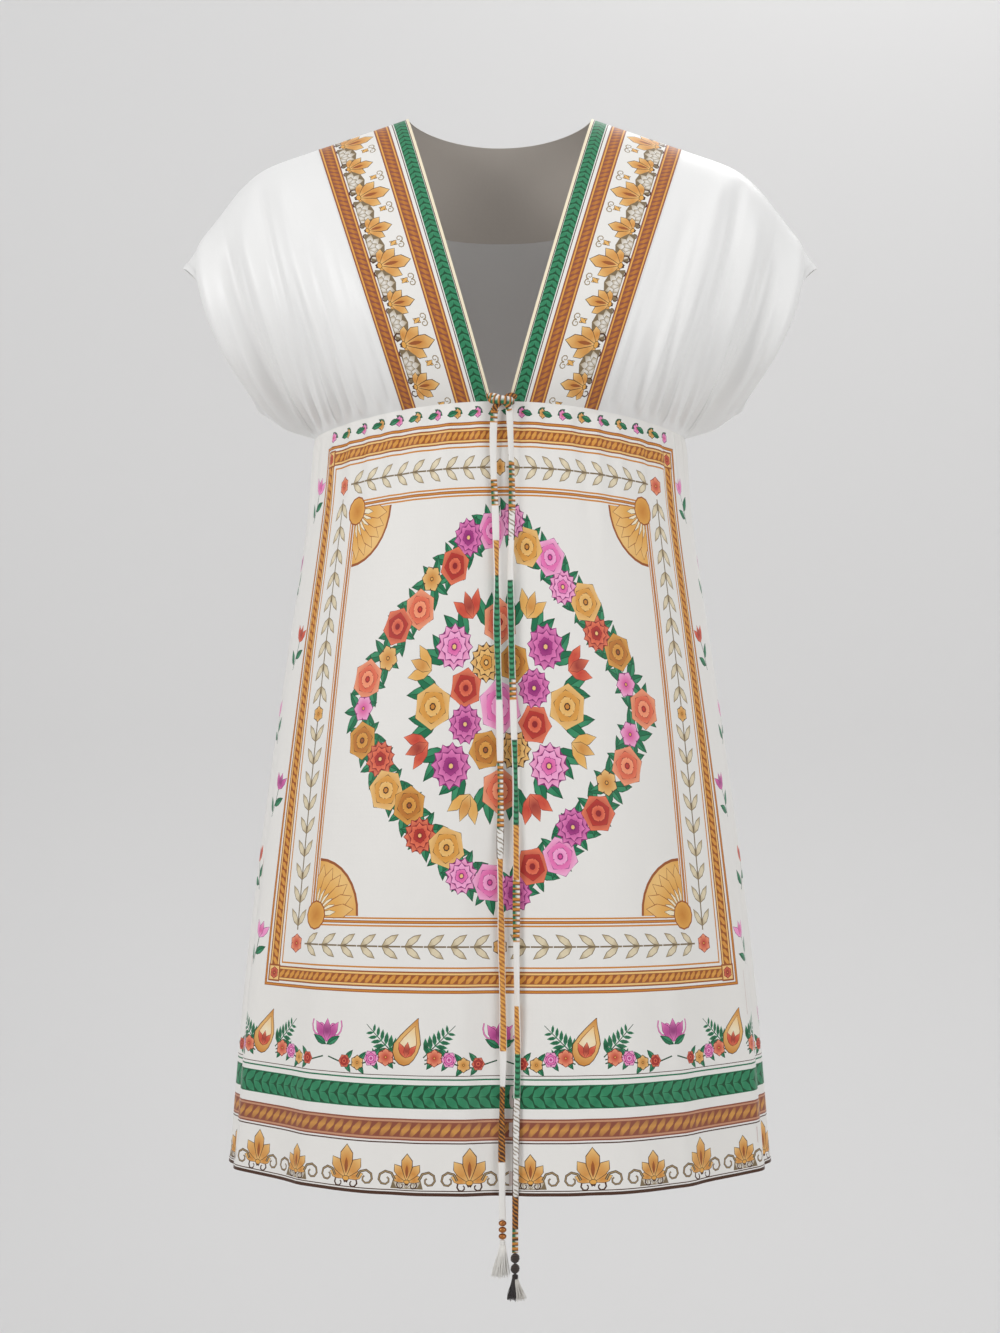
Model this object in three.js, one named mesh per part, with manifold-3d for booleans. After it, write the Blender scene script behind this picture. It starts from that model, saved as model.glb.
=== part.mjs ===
// A short caftan dress, held up as on a wearer's shoulders and filled out by nothing.
// Two printed bands run from the shoulders to a V at the raised waist, white fronts and a white back
// are cut in one with their cap sleeves and gathered into the waist seam, a printed yoke closes the
// back neck, and the printed A-line skirt hangs from the same seam. Two flat fabric ties leave a knot
// at the V and end in beads and tassels below the hem.
//
// Millimetres, +Z up. The front faces -Y, and -X is at the left of someone who looks at the front.
// The origin is midway between the neck ends of the shoulder seams, where the shoulders hold the dress.

import * as THREE from "three";
import { mergeVertices } from "three/addons/utils/BufferGeometryUtils.js";
import Module from "manifold-3d";

const wasm = await Module();
wasm.setup();

// Cloth and seams
const CLOTH = 1.2;
const SEAM_GAP = 0.3;

// Shoulders, neck and armholes
const NECK_HALF = 77;
const NECK_TOP = 2;
const BAND_TOP_HALF = 153;
const SHOULDER_DROP = 24;
const NECK_BACK_DEPTH = 52;
const NECK_BACK_DROP = 16;
const YOKE_DEPTH = 82;
const YOKE_DROP = 68;

// Raised waist seam: half width, depths and height of the ring
const WAIST_HALF = 155;
const WAIST_FRONT = 105;
const WAIST_BACK = 95;
const WAIST_SIDE_Z = -267;
const WAIST_FRONT_RISE = 23;
const WAIST_BACK_RISE = 6;
const BAND_FOOT_ANGLE = 31;
const V_POINT_ANGLE = 2.5;

// Share of a front or back at which its foot leaves the waist ring for the underarm seam
const SIDE_SHARE = 0.62;

// Hem
const HEM_SIDE_Z = -872;
const HEM_FRONT_DROP = 7;
const HEM_BACK_DROP = 4;

const DEG = Math.PI / 180;
const smooth = (a, b, x) => THREE.MathUtils.smoothstep(x, a, b);
const bump = (x, centre, width) => Math.exp(-(((x - centre) / width) ** 2));

// A column of a table, smoothly interpolated over the table's first column, and carried on past its ends.
function along(table, column, x) {
  const key = Object.keys(table[0])[0];
  let i = 0;
  while (i < table.length - 2 && x > table[i + 1][key]) i++;
  const [a, b] = [table[i], table[i + 1]];
  const before = table[Math.max(0, i - 1)];
  const after = table[Math.min(table.length - 1, i + 2)];
  const span = b[key] - a[key];
  const w = (x - a[key]) / span;
  const slopeA = ((b[column] - before[column]) / (b[key] - before[key])) * span;
  const slopeB = ((after[column] - a[column]) / (after[key] - a[key])) * span;
  const [w2, w3] = [w * w, w * w * w];
  return (
    a[column] * (2 * w3 - 3 * w2 + 1) +
    slopeA * (w3 - 2 * w2 + w) +
    b[column] * (3 * w2 - 2 * w3) +
    slopeB * (w3 - w2)
  );
}

// The waist seam's ring. Angle 0 is the centre front, 90 the side on +X and 180 the centre back.
function waist(angle) {
  const [s, c] = [Math.sin(angle * DEG), Math.cos(angle * DEG)];
  const depth = c > 0 ? WAIST_FRONT : WAIST_BACK;
  const rise = c > 0 ? WAIST_FRONT_RISE : WAIST_BACK_RISE;
  return new THREE.Vector3(WAIST_HALF * s, -depth * c, WAIST_SIDE_Z + rise * c * c);
}

// The shoulder seam from the band's outer edge (share 0) to the tip of the cap sleeve (share 1).
const SHOULDER = [
  { share: 0, x: BAND_TOP_HALF, z: -SHOULDER_DROP },
  { share: 0.3, x: 196, z: -40 },
  { share: 0.5, x: 217, z: -57 },
  { share: 0.7, x: 236, z: -82 },
  { share: 0.85, x: 251, z: -103 },
  { share: 1, x: 266, z: -124 },
];
function shoulder(share) {
  return new THREE.Vector3(along(SHOULDER, "x", share), 0, along(SHOULDER, "z", share));
}

// The underarm seam from the side of the waist (share SIDE_SHARE) to the foot of the armhole (share 1).
const UNDERARM = [
  { share: SIDE_SHARE, x: WAIST_HALF, z: WAIST_SIDE_Z },
  { share: 0.8, x: 180, z: -259 },
  { share: 0.9, x: 192, z: -251 },
  { share: 1, x: 203, z: -243 },
];
function foot(share, waistStart, waistEnd) {
  if (share <= SIDE_SHARE)
    return waist(THREE.MathUtils.lerp(waistStart, waistEnd, share / SIDE_SHARE));
  return new THREE.Vector3(along(UNDERARM, "x", share), 0, along(UNDERARM, "z", share));
}

// Each section of a front or back is one cubic from the shoulder to the foot. A row gives the two
// inner control points as steps from those ends: a from the shoulder and b from the foot.
const FRONT_SECTIONS = [
  { share: -1, ax: -2.5, ay: -44, az: -8, bx: 21.4, by: -36, bz: 77 },
  { share: 0, ax: -2, ay: -48, az: -6, bx: 22.6, by: -60, bz: 70 },
  { share: 0.3, ax: 0, ay: -52, az: -8, bx: 26, by: -86, bz: 70 },
  { share: 0.5, ax: 4, ay: -55, az: -9, bx: 38, by: -98, bz: 62 },
  { share: 0.62, ax: 8, ay: -55, az: -12, bx: 52, by: -106, bz: 50 },
  { share: 0.8, ax: 16, ay: -50, az: -13, bx: 52, by: -84, bz: 38 },
  { share: 0.9, ax: 4, ay: -52, az: -12, bx: 36, by: -72, bz: 34 },
  { share: 1, ax: -25, ay: -56, az: -12, bx: 12, by: -60, bz: 30 },
];
const BACK_SECTIONS = [
  { share: 0, ax: 0, ay: 12, az: -33, bx: 0, by: 24, bz: 56 },
  { share: 0.15, ax: 6, ay: 16, az: -32, bx: 10, by: 34, bz: 58 },
  { share: 0.3, ax: 12, ay: 26, az: -28, bx: 22, by: 52, bz: 60 },
  { share: 0.45, ax: 6, ay: 46, az: -8, bx: 30, by: 72, bz: 62 },
  { share: 0.62, ax: 8, ay: 50, az: -9, bx: 44, by: 92, bz: 56 },
  { share: 0.8, ax: 15, ay: 46, az: -12, bx: 50, by: 76, bz: 40 },
  { share: 0.9, ax: 4, ay: 50, az: -12, bx: 36, by: 66, bz: 34 },
  { share: 1, ax: -25, ay: 54, az: -12, bx: 12, by: 56, bz: 30 },
];
// Share of the back at which the yoke's corner meets the shoulder seam
const YOKE_SHARE = 0.45;

function section(table, share, top, bottom, t) {
  const inner = (end, name) =>
    new THREE.Vector3(
      end.x + along(table, name + "x", share),
      end.y + along(table, name + "y", share),
      end.z + along(table, name + "z", share),
    );
  return new THREE.CubicBezierCurve3(top, inner(top, "a"), inner(bottom, "b"), bottom).getPoint(t);
}

// Long soft folds of the white cloth: where each lies over the width, its half width, its depth and
// the stretch of the section, from shoulder to foot, over which it runs.
const FRONT_FOLDS = [
  { share: 0.12, width: 0.035, depth: -2.2, from: 0.3, to: 1.0 },
  { share: 0.24, width: 0.04, depth: 2.4, from: 0.15, to: 0.95 },
  { share: 0.36, width: 0.045, depth: -3.4, from: 0.1, to: 0.95 },
  { share: 0.5, width: 0.05, depth: 3.2, from: 0.2, to: 1.0 },
  { share: 0.63, width: 0.045, depth: -4.2, from: 0.25, to: 1.0 },
  { share: 0.78, width: 0.06, depth: 3.4, from: 0.05, to: 0.8 },
  { share: 0.89, width: 0.055, depth: -3.2, from: 0, to: 0.55 },
];
const BACK_FOLDS = [
  { share: 0.1, width: 0.05, depth: -3.0, from: 0.2, to: 1.0 },
  { share: 0.27, width: 0.05, depth: -3.2, from: 0.15, to: 1.0 },
  { share: 0.42, width: 0.05, depth: 3.0, from: 0.1, to: 0.95 },
  { share: 0.57, width: 0.05, depth: -4.0, from: 0.2, to: 1.0 },
  { share: 0.75, width: 0.06, depth: 3.2, from: 0.1, to: 0.8 },
  { share: 0.89, width: 0.055, depth: -3.0, from: 0, to: 0.55 },
];
const FOLD_END = 0.18;
function folds(table, share, t) {
  return table.reduce((sum, f) => {
    const run = smooth(f.from, f.from + FOLD_END, t) * (1 - smooth(f.to - FOLD_END, f.to, t));
    return sum + f.depth * bump(share, f.share, f.width) * run;
  }, 0);
}

// Gathers over the waist seam, deepest a little above it and pressed flat in the stitching.
const GATHER_DEPTH = 2;
const GATHER_START = 0.6;
const GATHER_PEAK = 0.9;
const GATHER_PRESSED = 0.93;
const GATHER_EDGES = { first: 0.08, last: 0.86 };
const GATHER_DRIFT = { size: 0.02, rate: 15 };
function gathers(share, t, count) {
  const across = share / SIDE_SHARE;
  if (across <= 0 || across >= 1) return 0;
  const edges = smooth(0, GATHER_EDGES.first, across) * (1 - smooth(GATHER_EDGES.last, 1, across));
  const height = smooth(GATHER_START, GATHER_PEAK, t) * (1 - smooth(GATHER_PRESSED, 1, t));
  const turn = count * (across + GATHER_DRIFT.size * Math.sin(GATHER_DRIFT.rate * across));
  return GATHER_DEPTH * edges * height * Math.sin(2 * Math.PI * turn);
}
const FRONT_GATHERS = 9;
const BACK_GATHERS = 12;

// The front half on +X. Share -1 to 0 is the printed band and 0 to 1 the white front.
const bandBase = (share, t) => {
  const top = new THREE.Vector3(
    THREE.MathUtils.lerp(BAND_TOP_HALF, NECK_HALF, -share),
    0,
    THREE.MathUtils.lerp(-SHOULDER_DROP, NECK_TOP, -share),
  );
  const bottom = waist(THREE.MathUtils.lerp(BAND_FOOT_ANGLE, V_POINT_ANGLE, -share));
  return section(FRONT_SECTIONS, share, top, bottom, t);
};
const frontBase = (share, t) =>
  share < 0
    ? bandBase(share, t)
    : section(FRONT_SECTIONS, share, shoulder(share), foot(share, BAND_FOOT_ANGLE, 90), t);

// The yoke: share 0 is the shoulder seam on +X, 0.5 the centre back and 1 the seam on -X,
// and t runs from the neck edge to its foot.
const YOKE_CROWN = 5;
const YOKE_SQUARENESS = 0.85;
const YOKE_SLOPE = 1.6;
function yoke(share, t) {
  const c = Math.cos(Math.PI * share);
  const s = Math.max(0, Math.sin(Math.PI * share));
  const square = Math.sign(c) * Math.abs(c) ** YOKE_SQUARENESS;
  const fall = s ** YOKE_SLOPE;
  const neck = new THREE.Vector3(NECK_HALF * c, NECK_BACK_DEPTH * s, NECK_TOP - NECK_BACK_DROP * fall);
  const outer = new THREE.Vector3(
    BAND_TOP_HALF * square,
    YOKE_DEPTH * s,
    -SHOULDER_DROP - YOKE_DROP * fall,
  );
  const crown = YOKE_CROWN * Math.sin(Math.PI * t) * s;
  return neck.lerp(outer, t).add(new THREE.Vector3(0, crown, crown));
}

// The back half on +X: share 0 is the centre back and 1 the armhole.
const backBase = (share, t) => {
  const top =
    share < YOKE_SHARE
      ? yoke(0.5 - (0.5 * share) / YOKE_SHARE, 1)
      : shoulder((share - YOKE_SHARE) / (1 - YOKE_SHARE));
  return section(BACK_SECTIONS, share, top, foot(share, 180, 90), t);
};

// A surface moved out along its own normal by a height field. Side is 1 where the second parameter's
// step crossed with the first one's points outwards, and -1 where it points inwards. The steps over
// which a surface's slopes are taken are wide enough to round off the corners in its edges.
const BODICE_STEP = { u: 0.01, v: 0.01 };
const SKIRT_STEP = { u: 0.5, v: 0.005 };
function frameOf(base, u, v, step) {
  const du = base(u + step.u, v).sub(base(u - step.u, v));
  const dv = base(u, v + step.v).sub(base(u, v - step.v));
  return { du: du.normalize(), dv: dv.normalize() };
}
function raised(base, height, side, step) {
  return (u, v) => {
    const { du, dv } = frameOf(base, u, v, step);
    const normal = dv.cross(du).normalize().multiplyScalar(side);
    return base(u, v).addScaledVector(normal, height(u, v));
  };
}

// Skirt: one row for each level, by its drop from the waist's side as a share of the length.
const SKIRT_LEVELS = [
  { drop: 0, half: WAIST_HALF, front: WAIST_FRONT, back: WAIST_BACK },
  { drop: 0.11, half: 161, front: 112, back: 103 },
  { drop: 0.3, half: 178, front: 123, back: 118 },
  { drop: 0.52, half: 197, front: 133, back: 130 },
  { drop: 0.75, half: 214, front: 142, back: 139 },
  { drop: 1, half: 227, front: 149, back: 145 },
];
// Soft folds of the skirt, by angle round it and half width in degrees, and depth at the hem.
const SKIRT_FOLDS = [
  { angle: 0, width: 11, depth: -15, from: 0 },
  { angle: 26, width: 13, depth: 7, from: 0.1 },
  { angle: -28, width: 14, depth: 6.5, from: 0.08 },
  { angle: 52, width: 9, depth: -5, from: 0.35 },
  { angle: -55, width: 10, depth: -5.5, from: 0.3 },
  { angle: 118, width: 12, depth: -9, from: 0.2 },
  { angle: 146, width: 12, depth: 6, from: 0.1 },
  { angle: 172, width: 10, depth: -9, from: 0.1 },
  { angle: 202, width: 12, depth: 6, from: 0.2 },
  { angle: 236, width: 13, depth: -9, from: 0.15 },
];
const SKIRT_GATHERS = 40;
const SKIRT_GATHER_DEPTH = 1.5;
const SKIRT_GATHER_LENGTH = 0.1;
const SKIRT_GATHER_PRESSED = 0.012;
const SKIRT_GATHER_DRIFT = { size: 0.12, rate: 9 };
// How soon a long fold opens: the share of its depth that grows with the square root of its run
const SKIRT_FOLD_EARLY = 0.75;
function skirtBase(angle, drop) {
  const [s, c] = [Math.sin(angle * DEG), Math.cos(angle * DEG)];
  const depth = along(SKIRT_LEVELS, c > 0 ? "front" : "back", drop);
  const top = waist(angle).z;
  const hem = HEM_SIDE_Z - (c > 0 ? HEM_FRONT_DROP : HEM_BACK_DROP) * c * c;
  const z = THREE.MathUtils.lerp(top, hem, drop);
  return new THREE.Vector3(along(SKIRT_LEVELS, "half", drop) * s, -depth * c, z);
}
function skirtHeight(angle, drop) {
  const round = (a) => ((((a + 180) % 360) + 360) % 360) - 180;
  const long = SKIRT_FOLDS.reduce((sum, f) => {
    const grown = smooth(f.from, 1, drop);
    const run = THREE.MathUtils.lerp(grown, Math.sqrt(grown), SKIRT_FOLD_EARLY);
    return sum + f.depth * bump(round(angle - f.angle), 0, f.width) * run;
  }, 0);
  const drift = SKIRT_GATHER_DRIFT.size * Math.sin(angle * SKIRT_GATHER_DRIFT.rate * DEG);
  const turn = (SKIRT_GATHERS * angle) / 360 + drift;
  const pressed = 1 - Math.exp(-Math.max(0, drop) / SKIRT_GATHER_PRESSED);
  const fade = pressed * Math.exp(-((drop / SKIRT_GATHER_LENGTH) ** 2));
  return long + SKIRT_GATHER_DEPTH * fade * Math.sin(2 * Math.PI * turn);
}

const frontWhite = raised(
  frontBase,
  (share, t) => folds(FRONT_FOLDS, share, t) + gathers(share, t, FRONT_GATHERS),
  1,
  BODICE_STEP,
);
const wholeBackBase = (share, t) => {
  const p = backBase(Math.abs(share), t);
  return share < 0 ? p.multiply(new THREE.Vector3(-1, 1, 1)) : p;
};
const backWhite = raised(
  wholeBackBase,
  (share, t) =>
    folds(BACK_FOLDS, Math.abs(share), t) + gathers(Math.abs(share), t, BACK_GATHERS),
  -1,
  BODICE_STEP,
);
const skirt = raised(skirtBase, skirtHeight, 1, SKIRT_STEP);

// A mirrored copy of a surface on the other side of the centre.
const mirrored = (surface) => (u, v) => surface(u, v).multiply(new THREE.Vector3(-1, 1, 1));

// A closed cloth wall over a surface. Each row is one v with its own list of u, so a row by the
// gathers can have more points than one above. The wall lies inside the surface, its rim is drawn
// in by half a seam gap, and a rim at y = 0, where a front meets a back, is cut square to that plane.
function wall(surface, rows, side, step = BODICE_STEP) {
  const outer = [];
  const inner = [];
  const starts = [];
  rows.forEach(({ v, us }, r) => {
    starts.push(outer.length);
    us.forEach((u, k) => {
      const { du, dv } = frameOf(surface, u, v, step);
      const normal = dv.clone().cross(du).normalize().multiplyScalar(side);
      const p = surface(u, v);
      if (Math.abs(p.y) < SEAM_GAP) normal.setY(0).normalize();
      const inset = SEAM_GAP / 2;
      if (k === 0) p.addScaledVector(du, inset * Math.sign(us[1] - us[0]));
      if (k === us.length - 1) p.addScaledVector(du, -inset * Math.sign(us[1] - us[0]));
      if (r === 0) p.addScaledVector(dv, inset * Math.sign(rows[1].v - rows[0].v));
      if (r === rows.length - 1) p.addScaledVector(dv, -inset * Math.sign(rows[1].v - rows[0].v));
      outer.push(p);
      inner.push(p.clone().addScaledVector(normal, -CLOTH));
    });
  });
  const count = outer.length;
  const faces = [];
  const face = (a, b, c) => {
    faces.push([a, b, c], [a + count, c + count, b + count]);
  };
  for (let r = 0; r + 1 < rows.length; r++) {
    const [upper, lower] = [rows[r].us, rows[r + 1].us];
    const done = (us, k) => (k < us.length - 1 ? Math.abs(us[k + 1] - us[0]) : Infinity);
    let [i, j] = [0, 0];
    while (i < upper.length - 1 || j < lower.length - 1) {
      const [nextUpper, nextLower] = [done(upper, i), done(lower, j)];
      const [a, b] = [starts[r] + i, starts[r + 1] + j];
      if (nextUpper < nextLower - 1e-9) {
        face(a, b, a + 1);
        i++;
      } else {
        face(a, b, b + 1);
        j++;
      }
    }
  }
  const rim = [];
  const last = rows.length - 1;
  for (let k = 0; k < rows[0].us.length - 1; k++) rim.push([k + 1, k]);
  for (let r = 0; r < last; r++) rim.push([starts[r], starts[r + 1]]);
  for (let k = 0; k < rows[last].us.length - 1; k++) rim.push([starts[last] + k, starts[last] + k + 1]);
  for (let r = last; r > 0; r--)
    rim.push([starts[r] + rows[r].us.length - 1, starts[r - 1] + rows[r - 1].us.length - 1]);
  rim.forEach(([a, b]) => faces.push([b, a, a + count], [b, a + count, b + count]));

  const turned = side * Math.sign(rows[0].us[1] - rows[0].us[0]) * Math.sign(rows[1].v - rows[0].v);
  const points = [...outer, ...inner].flatMap((p) => [p.x, p.y, p.z]);
  const index = faces.flatMap(([a, b, c]) => (turned < 0 ? [a, c, b] : [a, b, c]));
  const geometry = new THREE.BufferGeometry();
  geometry.setAttribute("position", new THREE.Float32BufferAttribute(points, 3));
  geometry.setIndex(index);
  geometry.computeVertexNormals();
  return geometry;
}

// Closed parts joined into one solid
function joined(parts) {
  const solids = parts.map((part) => {
    part.deleteAttribute("normal");
    part.deleteAttribute("uv");
    const merged = mergeVertices(part, 1e-4);
    const mesh = new wasm.Mesh({
      numProp: 3,
      vertProperties: new Float32Array(merged.attributes.position.array),
      triVerts: new Uint32Array(merged.index.array),
    });
    return new wasm.Manifold(mesh);
  });
  const whole = solids.reduce((a, b) => a.add(b)).getMesh();
  const geometry = new THREE.BufferGeometry();
  geometry.setAttribute("position", new THREE.Float32BufferAttribute(whole.vertProperties, 3));
  geometry.setIndex([...whole.triVerts]);
  geometry.computeVertexNormals();
  return geometry;
}

const spread = (from, to, steps) =>
  Array.from({ length: steps + 1 }, (_, k) => THREE.MathUtils.lerp(from, to, k / steps));

// Materials
const cloth = (colour, roughness) =>
  new THREE.MeshStandardMaterial({ color: colour, roughness, metalness: 0, side: THREE.DoubleSide });
const whiteCloth = cloth("#f1f0ee", 0.55);
const printedCloth = cloth("#e6dccb", 0.6);
const tieCloth = cloth("#c9a46b", 0.65);
const paleThread = cloth("#e9e4da", 0.8);
const darkThread = cloth("#2b2420", 0.8);
const beadGold = new THREE.MeshStandardMaterial({ color: "#b9783a", roughness: 0.35, metalness: 0.6 });

const dress = new THREE.Group();
function piece(name, geometry, material) {
  const mesh = new THREE.Mesh(geometry, material);
  mesh.name = name;
  dress.add(mesh);
}

// Rows of the bodice, and how much of the full count of columns each one has
const BODICE_ROWS = [
  { v: 0, fine: false },
  { v: 0.06, fine: false },
  { v: 0.15, fine: false },
  { v: 0.27, fine: false },
  { v: 0.4, fine: false },
  { v: 0.53, fine: false },
  { v: 0.66, fine: false },
  { v: 0.78, fine: true },
  { v: 0.88, fine: true },
  { v: 0.95, fine: true },
  { v: 1, fine: true },
];
const BAND_COLUMNS = 4;
const FRONT_COLUMNS = { plain: 14, gathered: 40, sleeve: 8 };
const BACK_COLUMNS = { yoke: 10, plain: 8, gathered: 46, sleeve: 8 };

// Printed front bands, from the shoulder seam to the waist seam
const bandRows = BODICE_ROWS.map(({ v }) => ({ v, us: spread(-1, 0, BAND_COLUMNS) }));
piece("band_front_r", wall(frontBase, bandRows, 1), printedCloth);
piece("band_front_l", wall(mirrored(frontBase), bandRows, -1), printedCloth);

// White fronts with their cap sleeves
const frontRows = BODICE_ROWS.map(({ v, fine }) => ({
  v,
  us: [
    ...spread(0, SIDE_SHARE, fine ? FRONT_COLUMNS.gathered : FRONT_COLUMNS.plain),
    ...spread(SIDE_SHARE, 1, FRONT_COLUMNS.sleeve).slice(1),
  ],
}));
piece("bodice_front_r", wall(frontWhite, frontRows, 1), whiteCloth);
piece("bodice_front_l", wall(mirrored(frontWhite), frontRows, -1), whiteCloth);

// The back is one cloth from armhole to armhole, below the yoke.
const backRows = BODICE_ROWS.map(({ v, fine }) => {
  const half = fine
    ? [
        ...spread(0, SIDE_SHARE, BACK_COLUMNS.gathered),
        ...spread(SIDE_SHARE, 1, BACK_COLUMNS.sleeve).slice(1),
      ]
    : [
        ...spread(0, YOKE_SHARE, BACK_COLUMNS.yoke),
        ...spread(YOKE_SHARE, 1, BACK_COLUMNS.plain).slice(1),
      ];
  return { v, us: [...half.slice(1).reverse().map((share) => -share), ...half] };
});
piece("bodice_back", wall(backWhite, backRows, -1), whiteCloth);
const yokeRows = spread(0, 1, BAND_COLUMNS).map((v) => ({ v, us: spread(0, 1, 2 * BACK_COLUMNS.yoke) }));
piece("yoke_back", wall(yoke, yokeRows, 1), printedCloth);

// Skirt front and back, sewn at the sides
const SKIRT_ROWS = [
  { v: 0, steps: 80 },
  { v: 0.025, steps: 80 },
  { v: 0.065, steps: 80 },
  { v: 0.12, steps: 40 },
  { v: 0.2, steps: 40 },
  { v: 0.33, steps: 30 },
  { v: 0.5, steps: 30 },
  { v: 0.67, steps: 30 },
  { v: 0.84, steps: 30 },
  { v: 1, steps: 30 },
];
const skirtRows = (from, to) => SKIRT_ROWS.map(({ v, steps }) => ({ v, us: spread(from, to, steps) }));
piece("skirt_front", wall(skirt, skirtRows(-90, 90), 1, SKIRT_STEP), printedCloth);
piece("skirt_back", wall(skirt, skirtRows(90, 270), 1, SKIRT_STEP), printedCloth);

// The knot of the ties, which sits on the V point
const KNOT = { x: 1.5, y: -110.7, z: -244, half: 9.5, thick: 5.2, high: 6 };
const knot = new THREE.SphereGeometry(1, 14, 10);
knot.scale(KNOT.half, KNOT.thick, KNOT.high);
knot.translate(KNOT.x, KNOT.y, KNOT.z);
piece("tie_knot", joined([knot]), tieCloth);

// Two flat ties, each a strip of the printed cloth folded lengthwise. They hang from the knot over
// the middle of the skirt and past its hem.
const TIE_WIDTH = 6;
const TIE_SIDES = 8;
const TIE_STEP = 15;
const TIE_L = [
  { x: -4.5, y: -111.5, z: -250.2 },
  { x: -5.5, y: -111.5, z: -275 },
  { x: -5, y: -113, z: -305 },
  { x: -3.5, y: -115.5, z: -340 },
  { x: -3, y: -118, z: -380 },
  { x: -2.5, y: -120.5, z: -425 },
  { x: -1, y: -123, z: -470 },
  { x: 0, y: -125, z: -520 },
  { x: 0.5, y: -127, z: -570 },
  { x: 0, y: -129.5, z: -620 },
  { x: 1, y: -131, z: -670 },
  { x: 2, y: -133, z: -720 },
  { x: 2.5, y: -135, z: -770 },
  { x: 1.5, y: -136.5, z: -815 },
  { x: 1.5, y: -138.5, z: -855 },
  { x: 2, y: -139.5, z: -898 },
];
const TIE_R = [
  { x: 7.5, y: -111.5, z: -250.2 },
  { x: 8.5, y: -112, z: -275 },
  { x: 9.5, y: -113.5, z: -305 },
  { x: 9.5, y: -115.5, z: -340 },
  { x: 8.5, y: -118, z: -380 },
  { x: 9, y: -121, z: -425 },
  { x: 10, y: -123.5, z: -470 },
  { x: 11.5, y: -126, z: -520 },
  { x: 12.5, y: -128.5, z: -570 },
  { x: 13, y: -131, z: -620 },
  { x: 13, y: -133, z: -670 },
  { x: 13.5, y: -135, z: -720 },
  { x: 14, y: -137, z: -770 },
  { x: 13, y: -138.5, z: -815 },
  { x: 12.5, y: -140, z: -855 },
  { x: 12, y: -141, z: -924 },
];
function tie(route) {
  const section = new THREE.Shape(
    spread(0, 2 * Math.PI, TIE_SIDES)
      .slice(0, TIE_SIDES)
      .map((a) => new THREE.Vector2(Math.cos(a), Math.sin(a)).multiplyScalar(TIE_WIDTH / 2)),
  );
  const path = new THREE.CatmullRomCurve3(route.map(({ x, y, z }) => new THREE.Vector3(x, y, z)));
  const steps = Math.round(path.getLength() / TIE_STEP);
  return joined([new THREE.ExtrudeGeometry(section, { steps, extrudePath: path, bevelEnabled: false })]);
}
piece("tie_l", tie(TIE_L), tieCloth);
piece("tie_r", tie(TIE_R), tieCloth);

// A round bead or knot on the end of a tie, with its poles on the tie's line
function ball(centre, radius, height) {
  const geometry = new THREE.SphereGeometry(1, 12, 8);
  geometry.rotateX(Math.PI / 2);
  geometry.scale(radius, radius, height / 2);
  geometry.translate(...centre);
  return joined([geometry]);
}

// A tassel: threads fanned out from under a bound head. Each next thread is turned on by the golden
// angle, their lengths vary a little, and the fan is flatter from front to back.
const STRANDS = 24;
const STRAND_RADIUS = 0.36;
const GOLDEN_ANGLE = Math.PI * (3 - Math.sqrt(5));
const STRAND_SHORTEST = 0.92;
const FAN_FLATNESS = 0.7;
const HEAD_TAPER = 0.75;
function tassel(top, head, spreadOut, length, lean) {
  const parts = [];
  const cap = new THREE.CylinderGeometry(head.radius * HEAD_TAPER, head.radius, head.height, 12);
  cap.rotateX(Math.PI / 2);
  cap.translate(top.x, top.y, top.z - head.height / 2);
  parts.push(cap);
  for (let k = 0; k < STRANDS; k++) {
    const turn = k * GOLDEN_ANGLE;
    const out = Math.sqrt((k + 0.5) / STRANDS);
    const root = (head.radius - STRAND_RADIUS) * out;
    const tip = spreadOut * out;
    const long = length * THREE.MathUtils.lerp(1, STRAND_SHORTEST, Math.abs(Math.sin(5 * k)));
    const from = new THREE.Vector3(root * Math.cos(turn), root * Math.sin(turn), 1 - head.height);
    const to = new THREE.Vector3(lean + tip * Math.cos(turn), FAN_FLATNESS * tip * Math.sin(turn), -long);
    const strand = new THREE.CylinderGeometry(STRAND_RADIUS, STRAND_RADIUS, from.distanceTo(to), 3);
    const line = to.clone().sub(from).normalize();
    strand.applyQuaternion(new THREE.Quaternion().setFromUnitVectors(new THREE.Vector3(0, -1, 0), line));
    strand.translate(...from.clone().add(to).multiplyScalar(0.5).add(top));
    parts.push(strand);
  }
  return joined(parts);
}

// The left tie ends in three beads and a white tassel.
const BEADS = { count: 3, radius: 3.2, height: 4.9 };
const endL = TIE_L[TIE_L.length - 1];
let hang = new THREE.Vector3(endL.x, endL.y, endL.z - SEAM_GAP);
for (let k = 1; k <= BEADS.count; k++) {
  const centre = hang.clone().setZ(hang.z - BEADS.height / 2);
  piece(`bead_l_${k}`, ball(centre, BEADS.radius, BEADS.height), beadGold);
  hang.z -= BEADS.height + SEAM_GAP;
}
piece("tassel_l", tassel(hang, { radius: 2.6, height: 4 }, 8, 31, -2), paleThread);

// The right tie ends in two bound knots and a tassel of dark and white threads.
const ENDS = { count: 2, radius: 3.6, height: 8 };
const endR = TIE_R[TIE_R.length - 1];
hang = new THREE.Vector3(endR.x, endR.y, endR.z - SEAM_GAP);
for (let k = 1; k <= ENDS.count; k++) {
  const centre = hang.clone().setZ(hang.z - ENDS.height / 2);
  piece(`end_knot_r_${k}`, ball(centre, ENDS.radius, ENDS.height), darkThread);
  hang.z -= ENDS.height + SEAM_GAP;
}
piece("tassel_r", tassel(hang, { radius: 2.8, height: 4 }, 8.5, 22, 1), darkThread);

export default dress;
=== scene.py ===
import math

import bpy
import numpy as np
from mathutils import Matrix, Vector
from mathutils.geometry import delaunay_2d_cdt


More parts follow.
